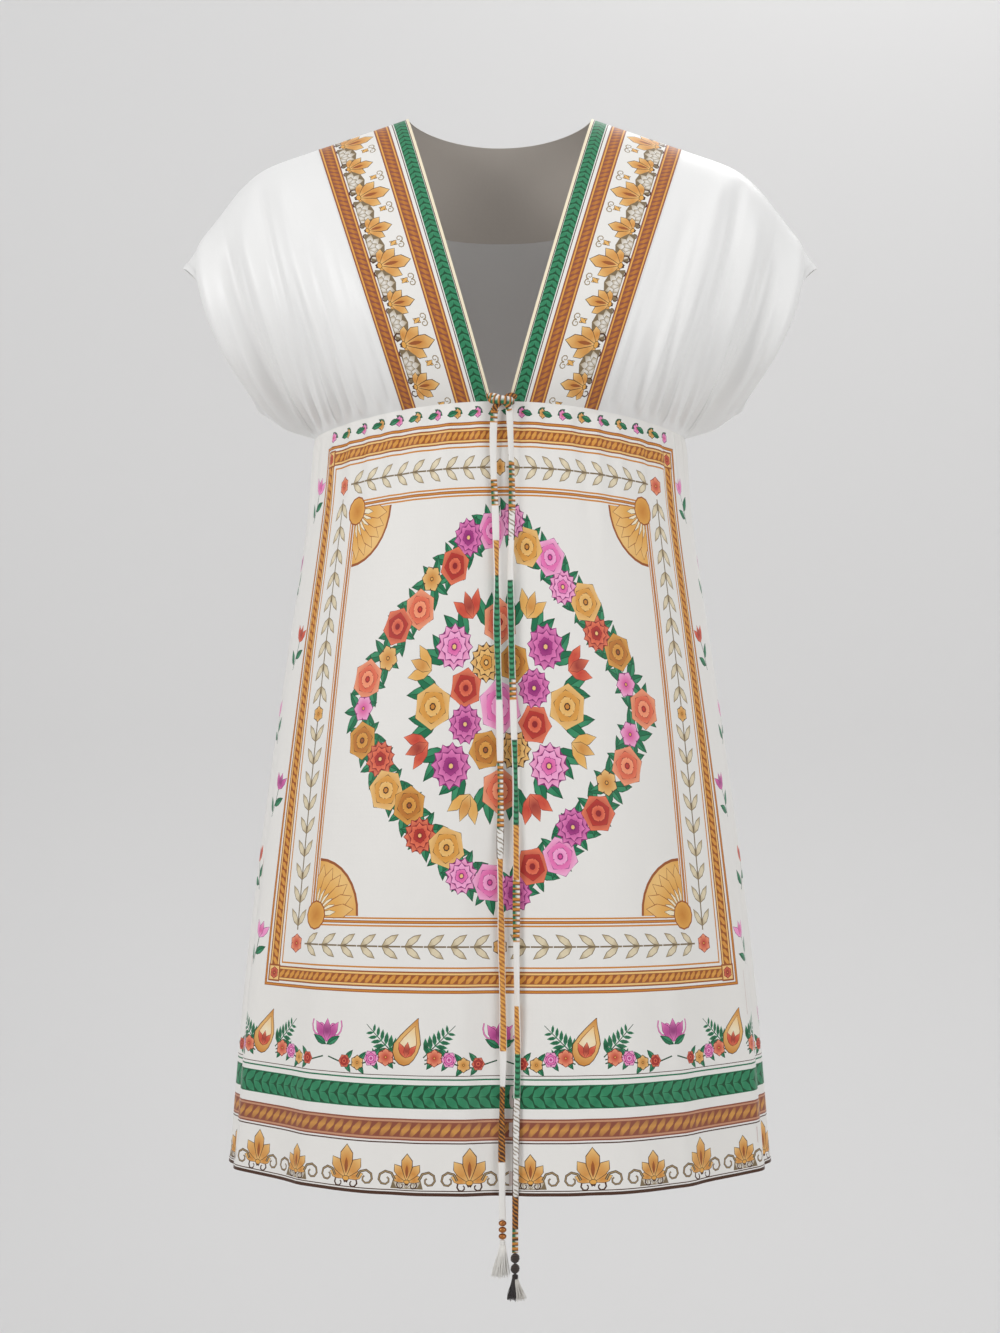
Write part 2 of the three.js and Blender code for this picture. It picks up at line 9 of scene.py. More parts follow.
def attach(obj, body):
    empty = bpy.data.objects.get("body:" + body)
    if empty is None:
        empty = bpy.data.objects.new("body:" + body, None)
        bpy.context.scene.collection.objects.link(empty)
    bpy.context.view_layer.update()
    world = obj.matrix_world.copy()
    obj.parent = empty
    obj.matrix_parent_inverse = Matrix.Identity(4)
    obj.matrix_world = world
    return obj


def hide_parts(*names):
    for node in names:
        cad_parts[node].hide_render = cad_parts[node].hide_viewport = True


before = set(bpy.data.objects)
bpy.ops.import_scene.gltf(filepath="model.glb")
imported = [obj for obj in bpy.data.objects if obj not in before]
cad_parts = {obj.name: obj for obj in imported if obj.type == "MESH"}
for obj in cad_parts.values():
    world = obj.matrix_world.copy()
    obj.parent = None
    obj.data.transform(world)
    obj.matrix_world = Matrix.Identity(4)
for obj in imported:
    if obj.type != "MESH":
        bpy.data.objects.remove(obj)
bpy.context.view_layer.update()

# The printed front bands. Each is one length of printed silky viscose, 82 mm wide, cut with its
# border design running down it and sewn to the white front. They meet in a V at the raised waist.
# Forms are worked out in millimetres, as they were cut, and become metres as each mesh is made.
DEGREE = math.pi / 180
NECK_HALF = 77
NECK_TOP = 2
BAND_TOP_HALF = 153
BAND_WIDTH = 82
SHOULDER_DROP = 24
WAIST_HALF = 155
WAIST_FRONT = 105
WAIST_BACK = 95
WAIST_SIDE_Z = -267
WAIST_FRONT_RISE = 23
WAIST_BACK_RISE = 6
BAND_FOOT_ANGLE = 31
V_POINT_ANGLE = 2.5
CLOTH_THICK = 0.6


def table(columns, *rows):
    """Rows of numbers as a dictionary of named columns"""
    return dict(zip(columns.split(), np.array(rows, float).T))


def along(rows, column, x):
    """A column of a table, smoothly interpolated over its first column"""
    keys, values = next(iter(rows.values())), rows[column]
    x = np.asarray(x, float)
    a = np.clip(np.searchsorted(keys, x) - 1, 0, len(keys) - 2)
    b = a + 1
    before, after = np.maximum(a - 1, 0), np.minimum(a + 2, len(keys) - 1)
    span = keys[b] - keys[a]
    w = (x - keys[a]) / span
    slope_a = (values[b] - values[before]) / (keys[b] - keys[before]) * span
    slope_b = (values[after] - values[a]) / (keys[after] - keys[a]) * span
    ends = values[a] * (2 * w**3 - 3 * w**2 + 1) + values[b] * (3 * w**2 - 2 * w**3)
    return ends + slope_a * (w**3 - 2 * w**2 + w) + slope_b * (w**3 - w**2)


def smooth(start, end, x):
    w = np.clip((x - start) / (end - start), 0, 1)
    return w * w * (3 - 2 * w)


def bump(x, centre, width):
    return np.exp(-(((x - centre) / width) ** 2))


def mix(a, b, w):
    return a + (b - a) * w


def point(x, y, z):
    return np.stack(np.broadcast_arrays(x, y, z), -1).astype(float)


def waist(angle):
    """The waist seam. Angle 0 is the centre front, 90 the side on +X and 180 the centre back"""
    s, c = np.sin(angle * DEGREE), np.cos(angle * DEGREE)
    depth = np.where(c > 0, WAIST_FRONT, WAIST_BACK)
    rise = np.where(c > 0, WAIST_FRONT_RISE, WAIST_BACK_RISE)
    return point(WAIST_HALF * s, -depth * c, WAIST_SIDE_Z + rise * c * c)


FRONT_SECTIONS = table(
    "share ax ay az bx by bz",
    (-1, -2.5, -44, -8, 21.4, -36, 77),
    (0, -2, -48, -6, 22.6, -60, 70),
    (0.3, 0, -52, -8, 26, -86, 70),
    (0.5, 4, -55, -9, 38, -98, 62),
    (0.62, 8, -55, -12, 52, -106, 50),
    (0.8, 16, -50, -13, 52, -84, 38),
    (0.9, 4, -52, -12, 36, -72, 34),
    (1, -25, -56, -12, 12, -60, 30),
)


def section(rows, share, top, foot, t):
    """A front's or back's line from shoulder to foot, one cubic whose inner points a table gives"""
    a = top + point(*(along(rows, "a" + axis, share) for axis in "xyz"))
    b = foot + point(*(along(rows, "b" + axis, share) for axis in "xyz"))
    t = np.asarray(t, float)[..., None]
    return top * (1 - t) ** 3 + 3 * a * t * (1 - t) ** 2 + 3 * b * t**2 * (1 - t) + foot * t**3


def band(share, t):
    """The band on +X: share -1 is its V edge and 0 its outer edge"""
    top = point(
        mix(BAND_TOP_HALF, NECK_HALF, -share), 0, mix(-SHOULDER_DROP, NECK_TOP, -share)
    )
    foot = waist(mix(BAND_FOOT_ANGLE, V_POINT_ANGLE, -share))
    return section(FRONT_SECTIONS, share, top, foot, t)


def normals(surface, u, v, step):
    """Normals of a surface, which point to the side that u crossed with v does"""
    du = surface(u + step[0], v) - surface(u - step[0], v)
    dv = surface(u, v + step[1]) - surface(u, v - step[1])
    n = np.cross(du, dv)
    return n / np.linalg.norm(n, axis=-1, keepdims=True)


def lengths(line):
    """Distance along a line of points"""
    steps = np.linalg.norm(np.diff(line, axis=0), axis=-1)
    return np.concatenate([[0], np.cumsum(steps)])


def linear(code):
    """A hex colour as linear light"""
    parts = [int(code[i : i + 2], 16) / 255 for i in (1, 3, 5)]
    return tuple(c / 12.92 if c <= 0.04045 else ((c + 0.055) / 1.055) ** 2.4 for c in parts)


# Inks of the print
WHITE = "#EAE7E2"
CREAM = "#F3E6C8"
OCHRE = "#CC8433"
GOLD = "#E3A64F"
PALE_GOLD = "#F0C57E"
ORANGE_BROWN = "#9C5628"
ROPE_BROWN = "#8D4E3A"
OUTLINE = "#4A2C1B"
GREEN = "#18704A"
LIGHT_GREEN = "#3C9267"
DARK_GREEN = "#0F4A2C"
MAGENTA = "#B03E88"
DEEP_MAGENTA = "#84246B"
PINK = "#EE85C0"
ROSE = "#DB4F96"
CORAL = "#F0805C"
RED = "#C23A2E"
DEEP_RED = "#8F2426"
BEIGE = "#A8926A"
TAUPE = "#7E6C50"


def shape(points, inner, outer=None, centre=None, reach=None):
    """A printed shape in one ink, or one that shades from a centre, its own middle if none is given,
    out to its reach"""
    points = np.asarray(points, float)
    if centre is None:
        centre = points.mean(0)
        reach = np.linalg.norm(points - centre, axis=1).max()
    return [points, linear(inner), linear(outer or inner), centre, reach]


def turned(points, degrees):
    s, c = math.sin(degrees * DEGREE), math.cos(degrees * DEGREE)
    return np.asarray(points, float) @ np.array([[c, s], [-s, c]])


def petal(length, width, fullness=1.0, blunt=1.0, steps=4):
    """Points round a petal or leaf from the origin along +Y. Fullness over 1 moves its widest part
    to the tip, and blunt under 1 rounds the tip."""
    s = np.linspace(0, 1, steps + 1)[1:-1]
    half = width / 2 * np.sin(np.pi * s**fullness) ** blunt
    side = np.column_stack([half, s * length])
    return np.vstack([[0, 0], side, [0, length], (side * [-1, 1])[::-1]])


def round_angles(count):
    return np.arange(count) * 2 * np.pi / count


def disc(radius, steps=10, squash=1.0):
    a = round_angles(steps)
    return np.column_stack([radius * np.cos(a), radius * squash * np.sin(a)])


def stroke(points, width, taper=0.0):
    """Points round a line of some width, which thins towards its end by the taper"""
    points = np.asarray(points, float)
    way = np.gradient(points, axis=0)
    way /= np.linalg.norm(way, axis=1, keepdims=True)
    half = width / 2 * (1 - taper * np.linspace(0, 1, len(points)))[:, None]
    across = np.column_stack([-way[:, 1], way[:, 0]]) * half
    return np.vstack([points + across, (points - across)[::-1]])


def outlined(points, line, inner, outer=None, gap=0.5):
    """A shape with a fine printed outline round it"""
    points = np.asarray(points, float)
    centre = points.mean(0)
    away = points - centre
    size = np.linalg.norm(away, axis=1, keepdims=True)
    inside = centre + away * np.maximum(1 - gap / size, 0.3)
    return [shape(points, line), shape(inside, inner, outer)]


def moved(shapes, x=0.0, y=0.0, turn=0.0, size=1.0):
    """A motif placed on the cloth"""
    offset = np.array([x, y])
    return [
        [turned(p * size, turn) + offset, a, b, turned(c * size, turn) + offset, r * size]
        for p, a, b, c, r in shapes
    ]


def leaf(length, width):
    """A leaf in two tones, whose midrib is the outline's ink left open between them"""
    shapes = [shape(petal(length, width, 0.85, 1.0), DARK_GREEN)]
    s = np.array([0.12, 0.4, 0.7, 0.94])
    half = np.maximum(width / 2 * np.sin(np.pi * s**0.85) - 0.5, 0.1)
    for side, ink in ((1, LIGHT_GREEN), (-1, GREEN)):
        edge = np.column_stack([side * half, s * length])
        rib = np.array([[side * 0.25, length * 0.9], [side * 0.25, length * 0.1]])
        shapes.append(shape(np.vstack([edge, rib]), ink, GREEN))
    return shapes


def scallop(radius, count, depth):
    """A round outline with one bulge to each petal"""
    a = round_angles(3 * count) + np.pi / 2
    r = radius * (1 - depth * (np.arange(3 * count) % 3 > 0) * 0.5)
    return np.column_stack([r * np.cos(a), r * np.sin(a)])


def flower(radius, rings, eye, line):
    """A round flower. Each ring is a count of petals, their reach and width as parts of the
    radius, how full and blunt they are, and their inner and outer ink."""
    shapes = []
    for k, (count, reach, width, fullness, blunt, inner, outer) in enumerate(rings):
        spin = 11 * k + (180 / count if k % 2 else 0)
        edge = turned(scallop(radius * reach, count, 0.3), spin)
        shapes.append(shape(edge, line))
        one = petal(radius * reach - 0.6, radius * width - 0.7, fullness, blunt, 4 if count < 9 else 3)
        hidden = radius * (rings[k + 1][1] * 0.6 if k + 1 < len(rings) else 0.08)
        one = np.vstack([[0, hidden], one[one[:, 1] > hidden + 0.2]])
        for j in range(count):
            blade = turned(one, 360 * j / count + spin)
            shapes.append(shape(blade, inner, outer, np.zeros(2), radius * reach))
    shapes.append(shape(disc(radius * 0.17, 7), line))
    shapes.append(shape(disc(radius * 0.11, 6), eye))
    return shapes


def rose(radius, line, deep, full, pale):
    """A full garden rose: broad outer petals round a tight heart"""
    rings = [
        (6, 1.0, 0.9, 1.75, 0.72, deep, pale),
        (5, 0.72, 0.76, 1.7, 0.72, deep, full),
        (4, 0.45, 0.56, 1.6, 0.7, full, pale),
    ]
    return flower(radius, rings, deep, line)


def dahlia(radius, line, deep, full, pale):
    """A many-petalled flower with narrow petals in three rings"""
    rings = [
        (12, 1.0, 0.5, 1.5, 0.8, deep, pale),
        (9, 0.72, 0.46, 1.5, 0.8, full, pale),
        (5, 0.42, 0.42, 1.5, 0.8, deep, full),
    ]
    return flower(radius, rings, PALE_GOLD, line)


def daisy(radius, line, deep, full, pale):
    """A simple flower of six petals round a gold eye"""
    return flower(radius, [(6, 1.0, 0.78, 1.5, 0.8, deep, pale)], GOLD, line)


def tulip(height, line, deep, full, pale):
    """A cup flower from the side, growing up from the origin"""
    shapes = []
    blade = petal(height, height * 0.42, 0.95, 0.9, 3)
    for turn, size, inner, outer in ((34, 1, full, pale), (-34, 1, full, pale), (0, 0.95, deep, pale)):
        shapes += moved(outlined(blade, line, inner, outer), turn=turn, size=size)
    return shapes


MAGENTA_INKS = (DEEP_MAGENTA, DEEP_MAGENTA, MAGENTA, PINK)
PINK_INKS = (DEEP_MAGENTA, ROSE, PINK, "#F7B6DA")
CORAL_INKS = (DEEP_RED, RED, CORAL, "#F8A77E")
RED_INKS = (DEEP_RED, DEEP_RED, RED, CORAL)
GOLD_INKS = (OUTLINE, OCHRE, GOLD, PALE_GOLD)
BROWN_INKS = (OUTLINE, ORANGE_BROWN, OCHRE, GOLD)


def run(motif, start, end, pitch):
    """A motif repeated along a straight line, turned so that its +X follows the line"""
    start, end = np.array(start, float), np.array(end, float)
    length = np.linalg.norm(end - start)
    count = max(1, round(length / pitch))
    turn = math.degrees(math.atan2(*(end - start)[::-1]))
    shapes = []
    for k in range(count):
        x, y = start + (end - start) * (k + 0.5) / count
        shapes += moved(motif, x, y, turn)
    return shapes


def bar(x0, y0, x1, y1, ink):
    return [shape([(x0, y0), (x1, y0), (x1, y1), (x0, y1)], ink)]


def rope_strand(width, pitch, ink, edge_ink):
    """One turn of a rope that runs along +X and is as wide as it says"""
    lean, half = width * 0.36, pitch * 0.4
    s = np.array([-1, 0, 1])
    edge = np.column_stack([lean * s, width / 2 * s])
    bulge = np.column_stack([half * np.array([0.45, 1, 0.45]), 0 * s])
    return [shape(np.vstack([edge + bulge, (edge - bulge)[::-1]]), ink, edge_ink)]


def rope(start, end, width, ground, line, inner, outer, pitch=5.2):
    """A printed rope between two fine edge lines"""
    start, end = np.array(start, float), np.array(end, float)
    shapes = []
    for half, ink in ((width / 2, line), (width / 2 - 1.2, ground), (width / 2 - 2.6, line)):
        shapes.append(shape(stroke([start, end], 2 * half), ink))
    return shapes + run(rope_strand(width - 6.2, pitch, inner, outer), start, end, pitch)


def braid(start, end, width, pitch=5.6):
    """A green braid of leaves laid in a chevron"""
    edge = [start, end]
    shapes = [shape(stroke(edge, width), GREEN), shape(stroke(edge, width - 1.6), DARK_GREEN)]
    blade = petal(width * 0.74, width * 0.36, 0.9, 0.8, 3)
    pair = []
    for side in (-1, 1):
        pair += moved([shape(blade, GREEN, LIGHT_GREEN)], -pitch / 2, 0, -90 + side * 38)
    return shapes + run(pair, start, end, pitch)


def scroll(radius, side, ink=OUTLINE):
    """A spiral that curls outwards from the origin, beige between two fine lines"""
    a = np.linspace(0, 2.3 * np.pi, 10)
    reach = radius * (1 - 0.1 * a)
    curl = np.column_stack([side * (radius * 0.9 - reach * np.cos(a)), reach * np.sin(a)])
    return [shape(stroke(curl, radius * 0.3, 0.4), ink), shape(stroke(curl, radius * 0.12, 0.4), BEIGE)]


def palmette(height):
    """A standing fan of broad gold lobes on two scrolls"""
    shapes = []
    for side in (-1, 1):
        shapes += moved(scroll(height * 0.17, side)[:1], side * height * 0.03, height * 0.06)
    blade = petal(height * 0.8, height * 0.36, 1.5, 0.7, 4)
    for turn, size in ((72, 0.6), (-72, 0.6), (37, 0.8), (-37, 0.8), (0, 1.04)):
        shapes += moved(outlined(blade, OUTLINE, OCHRE, PALE_GOLD, 0.7), 0, height * 0.15, turn, size)
    shapes += moved([shape(petal(height * 0.4, height * 0.1), ORANGE_BROWN)], 0, height * 0.26)
    return shapes + moved(outlined(disc(height * 0.1, 7, 0.7), OUTLINE, GOLD), 0, height * 0.16)


def fan_net(radius):
    """A fan of beige net, in overlapping scales"""
    shapes = [shape(disc(radius, 12)[:7], TAUPE)]
    for row, count in ((0.98, 5), (0.62, 4)):
        for k in range(count):
            turn = (k + 0.5) / count * 160 - 80
            scale = petal(radius * row, radius * row * 2.4 / count, 1.9, 0.6, 3)
            shapes += moved(outlined(scale, TAUPE, WHITE, BEIGE, 0.45), turn=turn)
    return shapes


def band_print(length, motifs):
    """The border design over a band's width, from the V edge at x = 0 outwards, and down its length"""
    shapes = bar(0, 0, BAND_WIDTH, length, WHITE)
    shapes += bar(0, 0, 2.6, length, CREAM)
    shapes += bar(2.4, 0, 3.1, length, OUTLINE)
    shapes += braid((8.6, 0), (8.6, length), 10.4)
    shapes += bar(14.6, 0, 15.4, length, OUTLINE)
    shapes += rope((25, 0), (25, length), 13.6, GOLD, ROPE_BROWN, OCHRE, ORANGE_BROWN)
    shapes += rope((74.6, 0), (74.6, length), 13.6, GOLD, ROPE_BROWN, OCHRE, ORANGE_BROWN)
    pitch = length / motifs
    for k in range(motifs):
        y = (k + 0.5) * pitch
        shapes += moved(fan_net(15), 66.5, y - pitch * 0.5, 90)
        large = k % 2 == 0
        shapes += moved(palmette(34 if large else 27), 66.5, y, 90)
        for edge in (-1, 1):
            shapes += moved(scroll(3.4, edge, TAUPE), 38, y + pitch * 0.5, 90)
            bud = outlined(petal(8, 4), OUTLINE, GOLD, PALE_GOLD)
            shapes += moved(bud, 47, y + pitch * 0.5 + edge * 2.2, 90 + edge * 34)
    return shapes


def resampled(points, longest):
    """A closed outline with no edge longer than a limit"""
    ends = np.roll(points, -1, axis=0)
    made = []
    for a, b in zip(points, ends):
        count = max(1, math.ceil(np.linalg.norm(b - a) / longest))
        made += [a + (b - a) * k / count for k in range(count)]
    return np.array(made)


def anticlockwise(ring):
    x, y = ring.T
    return ring if np.sum(x * np.roll(y, -1) - y * np.roll(x, -1)) > 0 else ring[::-1]


def cut_tile(shapes, reach, tile, spots, longest):
    """Triangles of one rectangle of flat cloth, cut along the shapes that meet it, and the number
    of the topmost shape over each"""
    x0, y0, x1, y1 = tile
    ground = np.array([(x0, y0), (x1, y0), (x1, y1), (x0, y1)])
    points, faces, numbers = [], [], []
    near = (reach[:, 0] <= x1) & (reach[:, 1] <= y1) & (reach[:, 2] >= x0) & (reach[:, 3] >= y0)
    for k in [-1, *np.flatnonzero(near)]:
        ring = anticlockwise(resampled(ground if k < 0 else shapes[k][0], longest))
        faces.append(list(range(len(points), len(points) + len(ring))))
        points += [Vector(q) for q in ring]
        numbers.append(k)
    inside = ((spots > (x0 + 0.5, y0 + 0.5)) & (spots < (x1 - 0.5, y1 - 0.5))).all(1)
    points += [Vector(q) for q in spots[inside]]
    flat, _, tris, _, _, owners = delaunay_2d_cdt(points, [], faces, 0, 1e-4, True)
    kept = [(tri, numbers[max(owner)]) for tri, owner in zip(tris, owners) if owner and min(owner) == 0]
    return np.array(flat), np.array([t for t, _ in kept]), np.array([top for _, top in kept])


ON_LINE = 2e-3
ONE_PLACE = 0.01


def snapped_to(flat, axis, line):
    """Joins the points that two tiles have at one place of the line between them"""
    on = np.flatnonzero(np.abs(flat[:, axis] - line) < ON_LINE)
    on = on[np.argsort(flat[on, 1 - axis])]
    along_line = flat[on, 1 - axis]
    group = np.concatenate([[0], np.cumsum(np.diff(along_line) > ONE_PLACE)])
    flat[on, axis] = line
    flat[on, 1 - axis] = (np.bincount(group, along_line) / np.bincount(group))[group]


INK_SHADING = 1.3


def cut_apart(shapes, spots, tiles, longest=8.5):
    """Triangles of a flat cloth, whose outline is the first shape, cut along its printed shapes
    and worked out in tiles. Also gives the ink at each corner."""
    reach = np.array([[*s[0].min(0), *s[0].max(0)] for s in shapes])
    low, high = reach[0][:2], reach[0][2:]
    columns = np.linspace(low[0], high[0], tiles + 1)
    rows = np.linspace(low[1], high[1], tiles + 1)
    spots = np.array(spots)
    flats, all_tris, all_tops, count = [], [], [], 0
    for x0, x1 in zip(columns, columns[1:]):
        for y0, y1 in zip(rows, rows[1:]):
            flat, tris, tops = cut_tile(shapes, reach, (x0, y0, x1, y1), spots, longest)
            flats.append(flat)
            all_tris.append(tris + count)
            all_tops.append(tops)
            count += len(flat)
    flat, tris, tops = np.vstack(flats), np.vstack(all_tris), np.concatenate(all_tops)
    for axis, lines in ((0, columns), (1, rows)):
        for line in lines:
            snapped_to(flat, axis, line)
    _, first, same = np.unique(np.round(flat, 5), axis=0, return_index=True, return_inverse=True)
    flat, tris = flat[first], same.ravel()[tris]
    solid = (tris[:, 0] != tris[:, 1]) & (tris[:, 1] != tris[:, 2]) & (tris[:, 2] != tris[:, 0])
    tris, tops = tris[solid], tops[solid]
    inner, outer, centres = (np.array([s[k] for s in shapes]) for k in (1, 2, 3))
    size = np.array([s[4] for s in shapes])
    away = np.linalg.norm(flat[tris] - centres[tops][:, None], axis=-1) / size[tops][:, None]
    w = np.clip(away, 0, 1)[..., None] ** INK_SHADING
    inks = inner[tops][:, None] * (1 - w) + outer[tops][:, None] * w
    return flat, tris, inks


def border(tris):
    """Directed edges that only one triangle has"""
    edges = np.vstack([tris[:, [0, 1]], tris[:, [1, 2]], tris[:, [2, 0]]])
    seen = {(a, b) for a, b in edges.tolist()}
    return [(a, b) for a, b in seen if (b, a) not in seen]


def new_piece(name, points, faces, corner_normals, corner_uv, corner_ink, material):
    """A mesh object from points in millimetres, with its normals, cloth map and ink"""
    mesh = bpy.data.meshes.new(name)
    mesh.from_pydata((np.asarray(points) / 1000).tolist(), [], faces)
    uv = mesh.uv_layers.new(name="Cloth")
    uv.data.foreach_set("uv", np.asarray(corner_uv, "f").ravel())
    if corner_ink is not None:
        ink = mesh.color_attributes.new("Ink", "FLOAT_COLOR", "CORNER")
        rgba = np.ones((len(corner_ink), 4), "f")
        rgba[:, :3] = corner_ink
        ink.data.foreach_set("color", rgba.ravel())
    mesh.polygons.foreach_set("use_smooth", [True] * len(mesh.polygons))
    if corner_normals is not None:
        mesh.normals_split_custom_set(np.asarray(corner_normals).tolist())
    mesh.materials.append(material)
    obj = bpy.data.objects.new(name, mesh)
    bpy.context.collection.objects.link(obj)
    return obj


BACK_PITCH = 14
SHOW_THROUGH = 0.35
BACK_WHITE = 0.6


def face_corners(faces):
    """The number of the point at each corner of each face"""
    return np.array([v for face in faces for v in face])


def printed_cloth(name, cut, place, material, slack=None):
    """A closed thin cloth: its printed face is cut along the print, and its back is coarser and
    shows the print's mean ink faintly. place gives points and outward normals in the row frame for
    points of the flat cloth, and slack gives how much further in the back goes where it is gathered."""
    flat, tris, inks = cut
    used, tris = np.unique(tris, return_inverse=True)
    flat, tris = flat[used], tris.reshape(-1, 3)
    edges = border(tris)
    rim = sorted({a for edge in edges for a in edge})
    low, high = flat.min(0), flat.max(0)
    inner_spots = [
        Vector((x, y))
        for x in np.arange(low[0] + BACK_PITCH / 2, high[0], BACK_PITCH)
        for y in np.arange(low[1] + BACK_PITCH / 2, high[1], BACK_PITCH)
    ]
    index = {a: k for k, a in enumerate(rim)}
    back, _, back_tris, origins, _, _ = delaunay_2d_cdt(
        [Vector(flat[a]) for a in rim] + inner_spots,
        [(index[a], index[b]) for a, b in edges], [], 1, 1e-4, True,
    )
    back = np.array(back)
    at = {}
    for k, origin in enumerate(origins):
        for o in origin:
            at[o] = k
    outer_points, outer_normals = place(flat)
    back_points, back_normals = place(back)
    further = CLOTH_THICK + (slack(back) if slack else np.zeros(len(back)))
    back_points = back_points - back_normals * further[:, None]
    count = len(flat)
    a, b, c = outer_points[tris[0]]
    turned_over = np.dot(np.cross(b - a, c - a), outer_normals[tris[0][0]]) < 0
    faces = tris[:, ::-1] if turned_over else tris
    inks = inks[:, ::-1] if turned_over else inks
    back_tris = np.array([list(f) for f in back_tris])
    p, q, r = back_points[back_tris[0]]
    if np.dot(np.cross(q - p, r - p), back_normals[back_tris[0][0]]) > 0:
        back_tris = back_tris[:, ::-1]
    rims = []
    for a, b in edges:
        c, d = at[index[b]] + count, at[index[a]] + count
        rims.append([b, a, d, c] if not turned_over else [a, b, c, d])
    all_faces = faces.tolist() + (back_tris + count).tolist() + rims
    loops = face_corners(all_faces)
    both_normals = np.vstack([outer_normals, -back_normals])
    both_flat = np.vstack([flat, back]) / 1000
    ghost = inks[:, 0].mean(0) * SHOW_THROUGH + np.array(linear(WHITE)) * BACK_WHITE
    corner_ink = np.vstack([inks.reshape(-1, 3), np.tile(ghost, (len(loops) - 3 * len(faces), 1))])
    return new_piece(
        name, np.vstack([outer_points, back_points]), all_faces, both_normals[loops],
        both_flat[loops], corner_ink, material,
    )


def add(tree, kind, links=None, **settings):
    """Adds a node with its settings; links maps its sockets to values or to other sockets"""
    node = tree.nodes.new(kind)
    for name, value in settings.items():
        setattr(node, name, value)
    for socket, source in (links or {}).items():
        if isinstance(source, bpy.types.NodeSocket):
            tree.links.new(source, node.inputs[socket])
        else:
            node.inputs[socket].default_value = source
    return node


def new_material(name):
    material = bpy.data.materials.new(name)
    material.use_nodes = True
    material.node_tree.nodes.clear()
    return material, material.node_tree


def wave_scale(apart):
    """Scale of a wave texture on a map in metres, for ridges so many millimetres apart"""
    return math.pi / 10 * 1000 / apart


def noise_scale(size):
    """Scale of a noise texture on a map in metres, for forms of some size in millimetres"""
    return 1000 / size


CLOTH_WAVES = 26.3


def woven(tree, apart, depth):
    """Height of a plain weave on the cloth's own map, with its ridges so many millimetres apart, and
    of the wide shallow waves that handling leaves in it"""
    place = add(tree, "ShaderNodeUVMap", uv_map="Cloth")
    waves = [
        add(tree, "ShaderNodeTexWave", {"Vector": place.outputs[0], "Scale": wave_scale(apart),
            "Distortion": 0.6, "Detail": 1.0, "Detail Scale": 3.0},
            wave_type="BANDS", bands_direction=way).outputs["Fac"]
        for way in ("X", "Y")
    ]
    high = add(tree, "ShaderNodeMath", {0: waves[0], 1: waves[1]}, operation="MAXIMUM")
    soft = add(tree, "ShaderNodeTexNoise", {"Vector": place.outputs[0], "Detail": 3.0,
               "Scale": noise_scale(CLOTH_WAVES)})
    fine = add(tree, "ShaderNodeBump", {"Strength": 0.25, "Distance": depth, "Height": high.outputs[0]})
    return add(tree, "ShaderNodeBump", {"Strength": 0.35, "Distance": 0.0012,
               "Height": soft.outputs["Fac"], "Normal": fine.outputs[0]})


# Silky printed viscose crepe, plain woven: a soft low sheen, with a slight grain. The ridges of the
# grain are drawn 3.8 mm apart, far wider than its real threads, so that it shows.
printed_viscose, nodes = new_material("printed_viscose_crepe")
ink = add(nodes, "ShaderNodeVertexColor", layer_name="Ink")
grain = woven(nodes, 3.77, 0.0001)
surface = add(nodes, "ShaderNodeBsdfPrincipled", {
    "Base Color": ink.outputs["Color"], "Roughness": 0.55, "Specular IOR Level": 0.35,
    "Sheen Weight": 0.18, "Sheen Roughness": 0.4, "Normal": grain.outputs[0]})
add(nodes, "ShaderNodeOutputMaterial", {"Surface": surface.outputs[0]})

BAND_MOTIFS = 8
SEAM_RISE = 0.35
SEAM_REACH = 2.2
NORMAL_STEP = (0.01, 0.01)
spread = np.linspace(0, 1, 200)
band_line = lengths(band(-0.5, spread))
BAND_LENGTH = band_line[-1]


def grid(width, height, pitch_x, pitch_y):
    """Points all over a flat cloth, clear of its edges"""
    across = np.linspace(0, width, max(2, round(width / pitch_x)) + 1)[1:-1]
    down = np.linspace(0, height, max(2, round(height / pitch_y)) + 1)[1:-1]
    return [(x, y) for x in across for y in down]


def band_place(side):
    """Where the flat band goes: side 1 on +X and -1 on -X"""
    def place(flat):
        share = flat[:, 0] / BAND_WIDTH - 1
        t = np.interp(flat[:, 1], band_line, spread)
        edge = np.minimum(flat[:, 0], BAND_WIDTH - flat[:, 0])
        n = -normals(band, share, t, NORMAL_STEP)
        points = band(share, t) + n * (SEAM_RISE * bump(edge, 0, SEAM_REACH))[:, None]
        return points * [side, 1, 1], n * [side, 1, 1]
    return place


band_cut = cut_apart(band_print(BAND_LENGTH, BAND_MOTIFS), grid(BAND_WIDTH, BAND_LENGTH, 9, 9), 2)
for side, name in ((1, "band_front_r"), (-1, "band_front_l")):
    piece = printed_cloth("printed_" + name, band_cut, band_place(side), printed_viscose)
    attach(piece, "root")
    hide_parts(name)

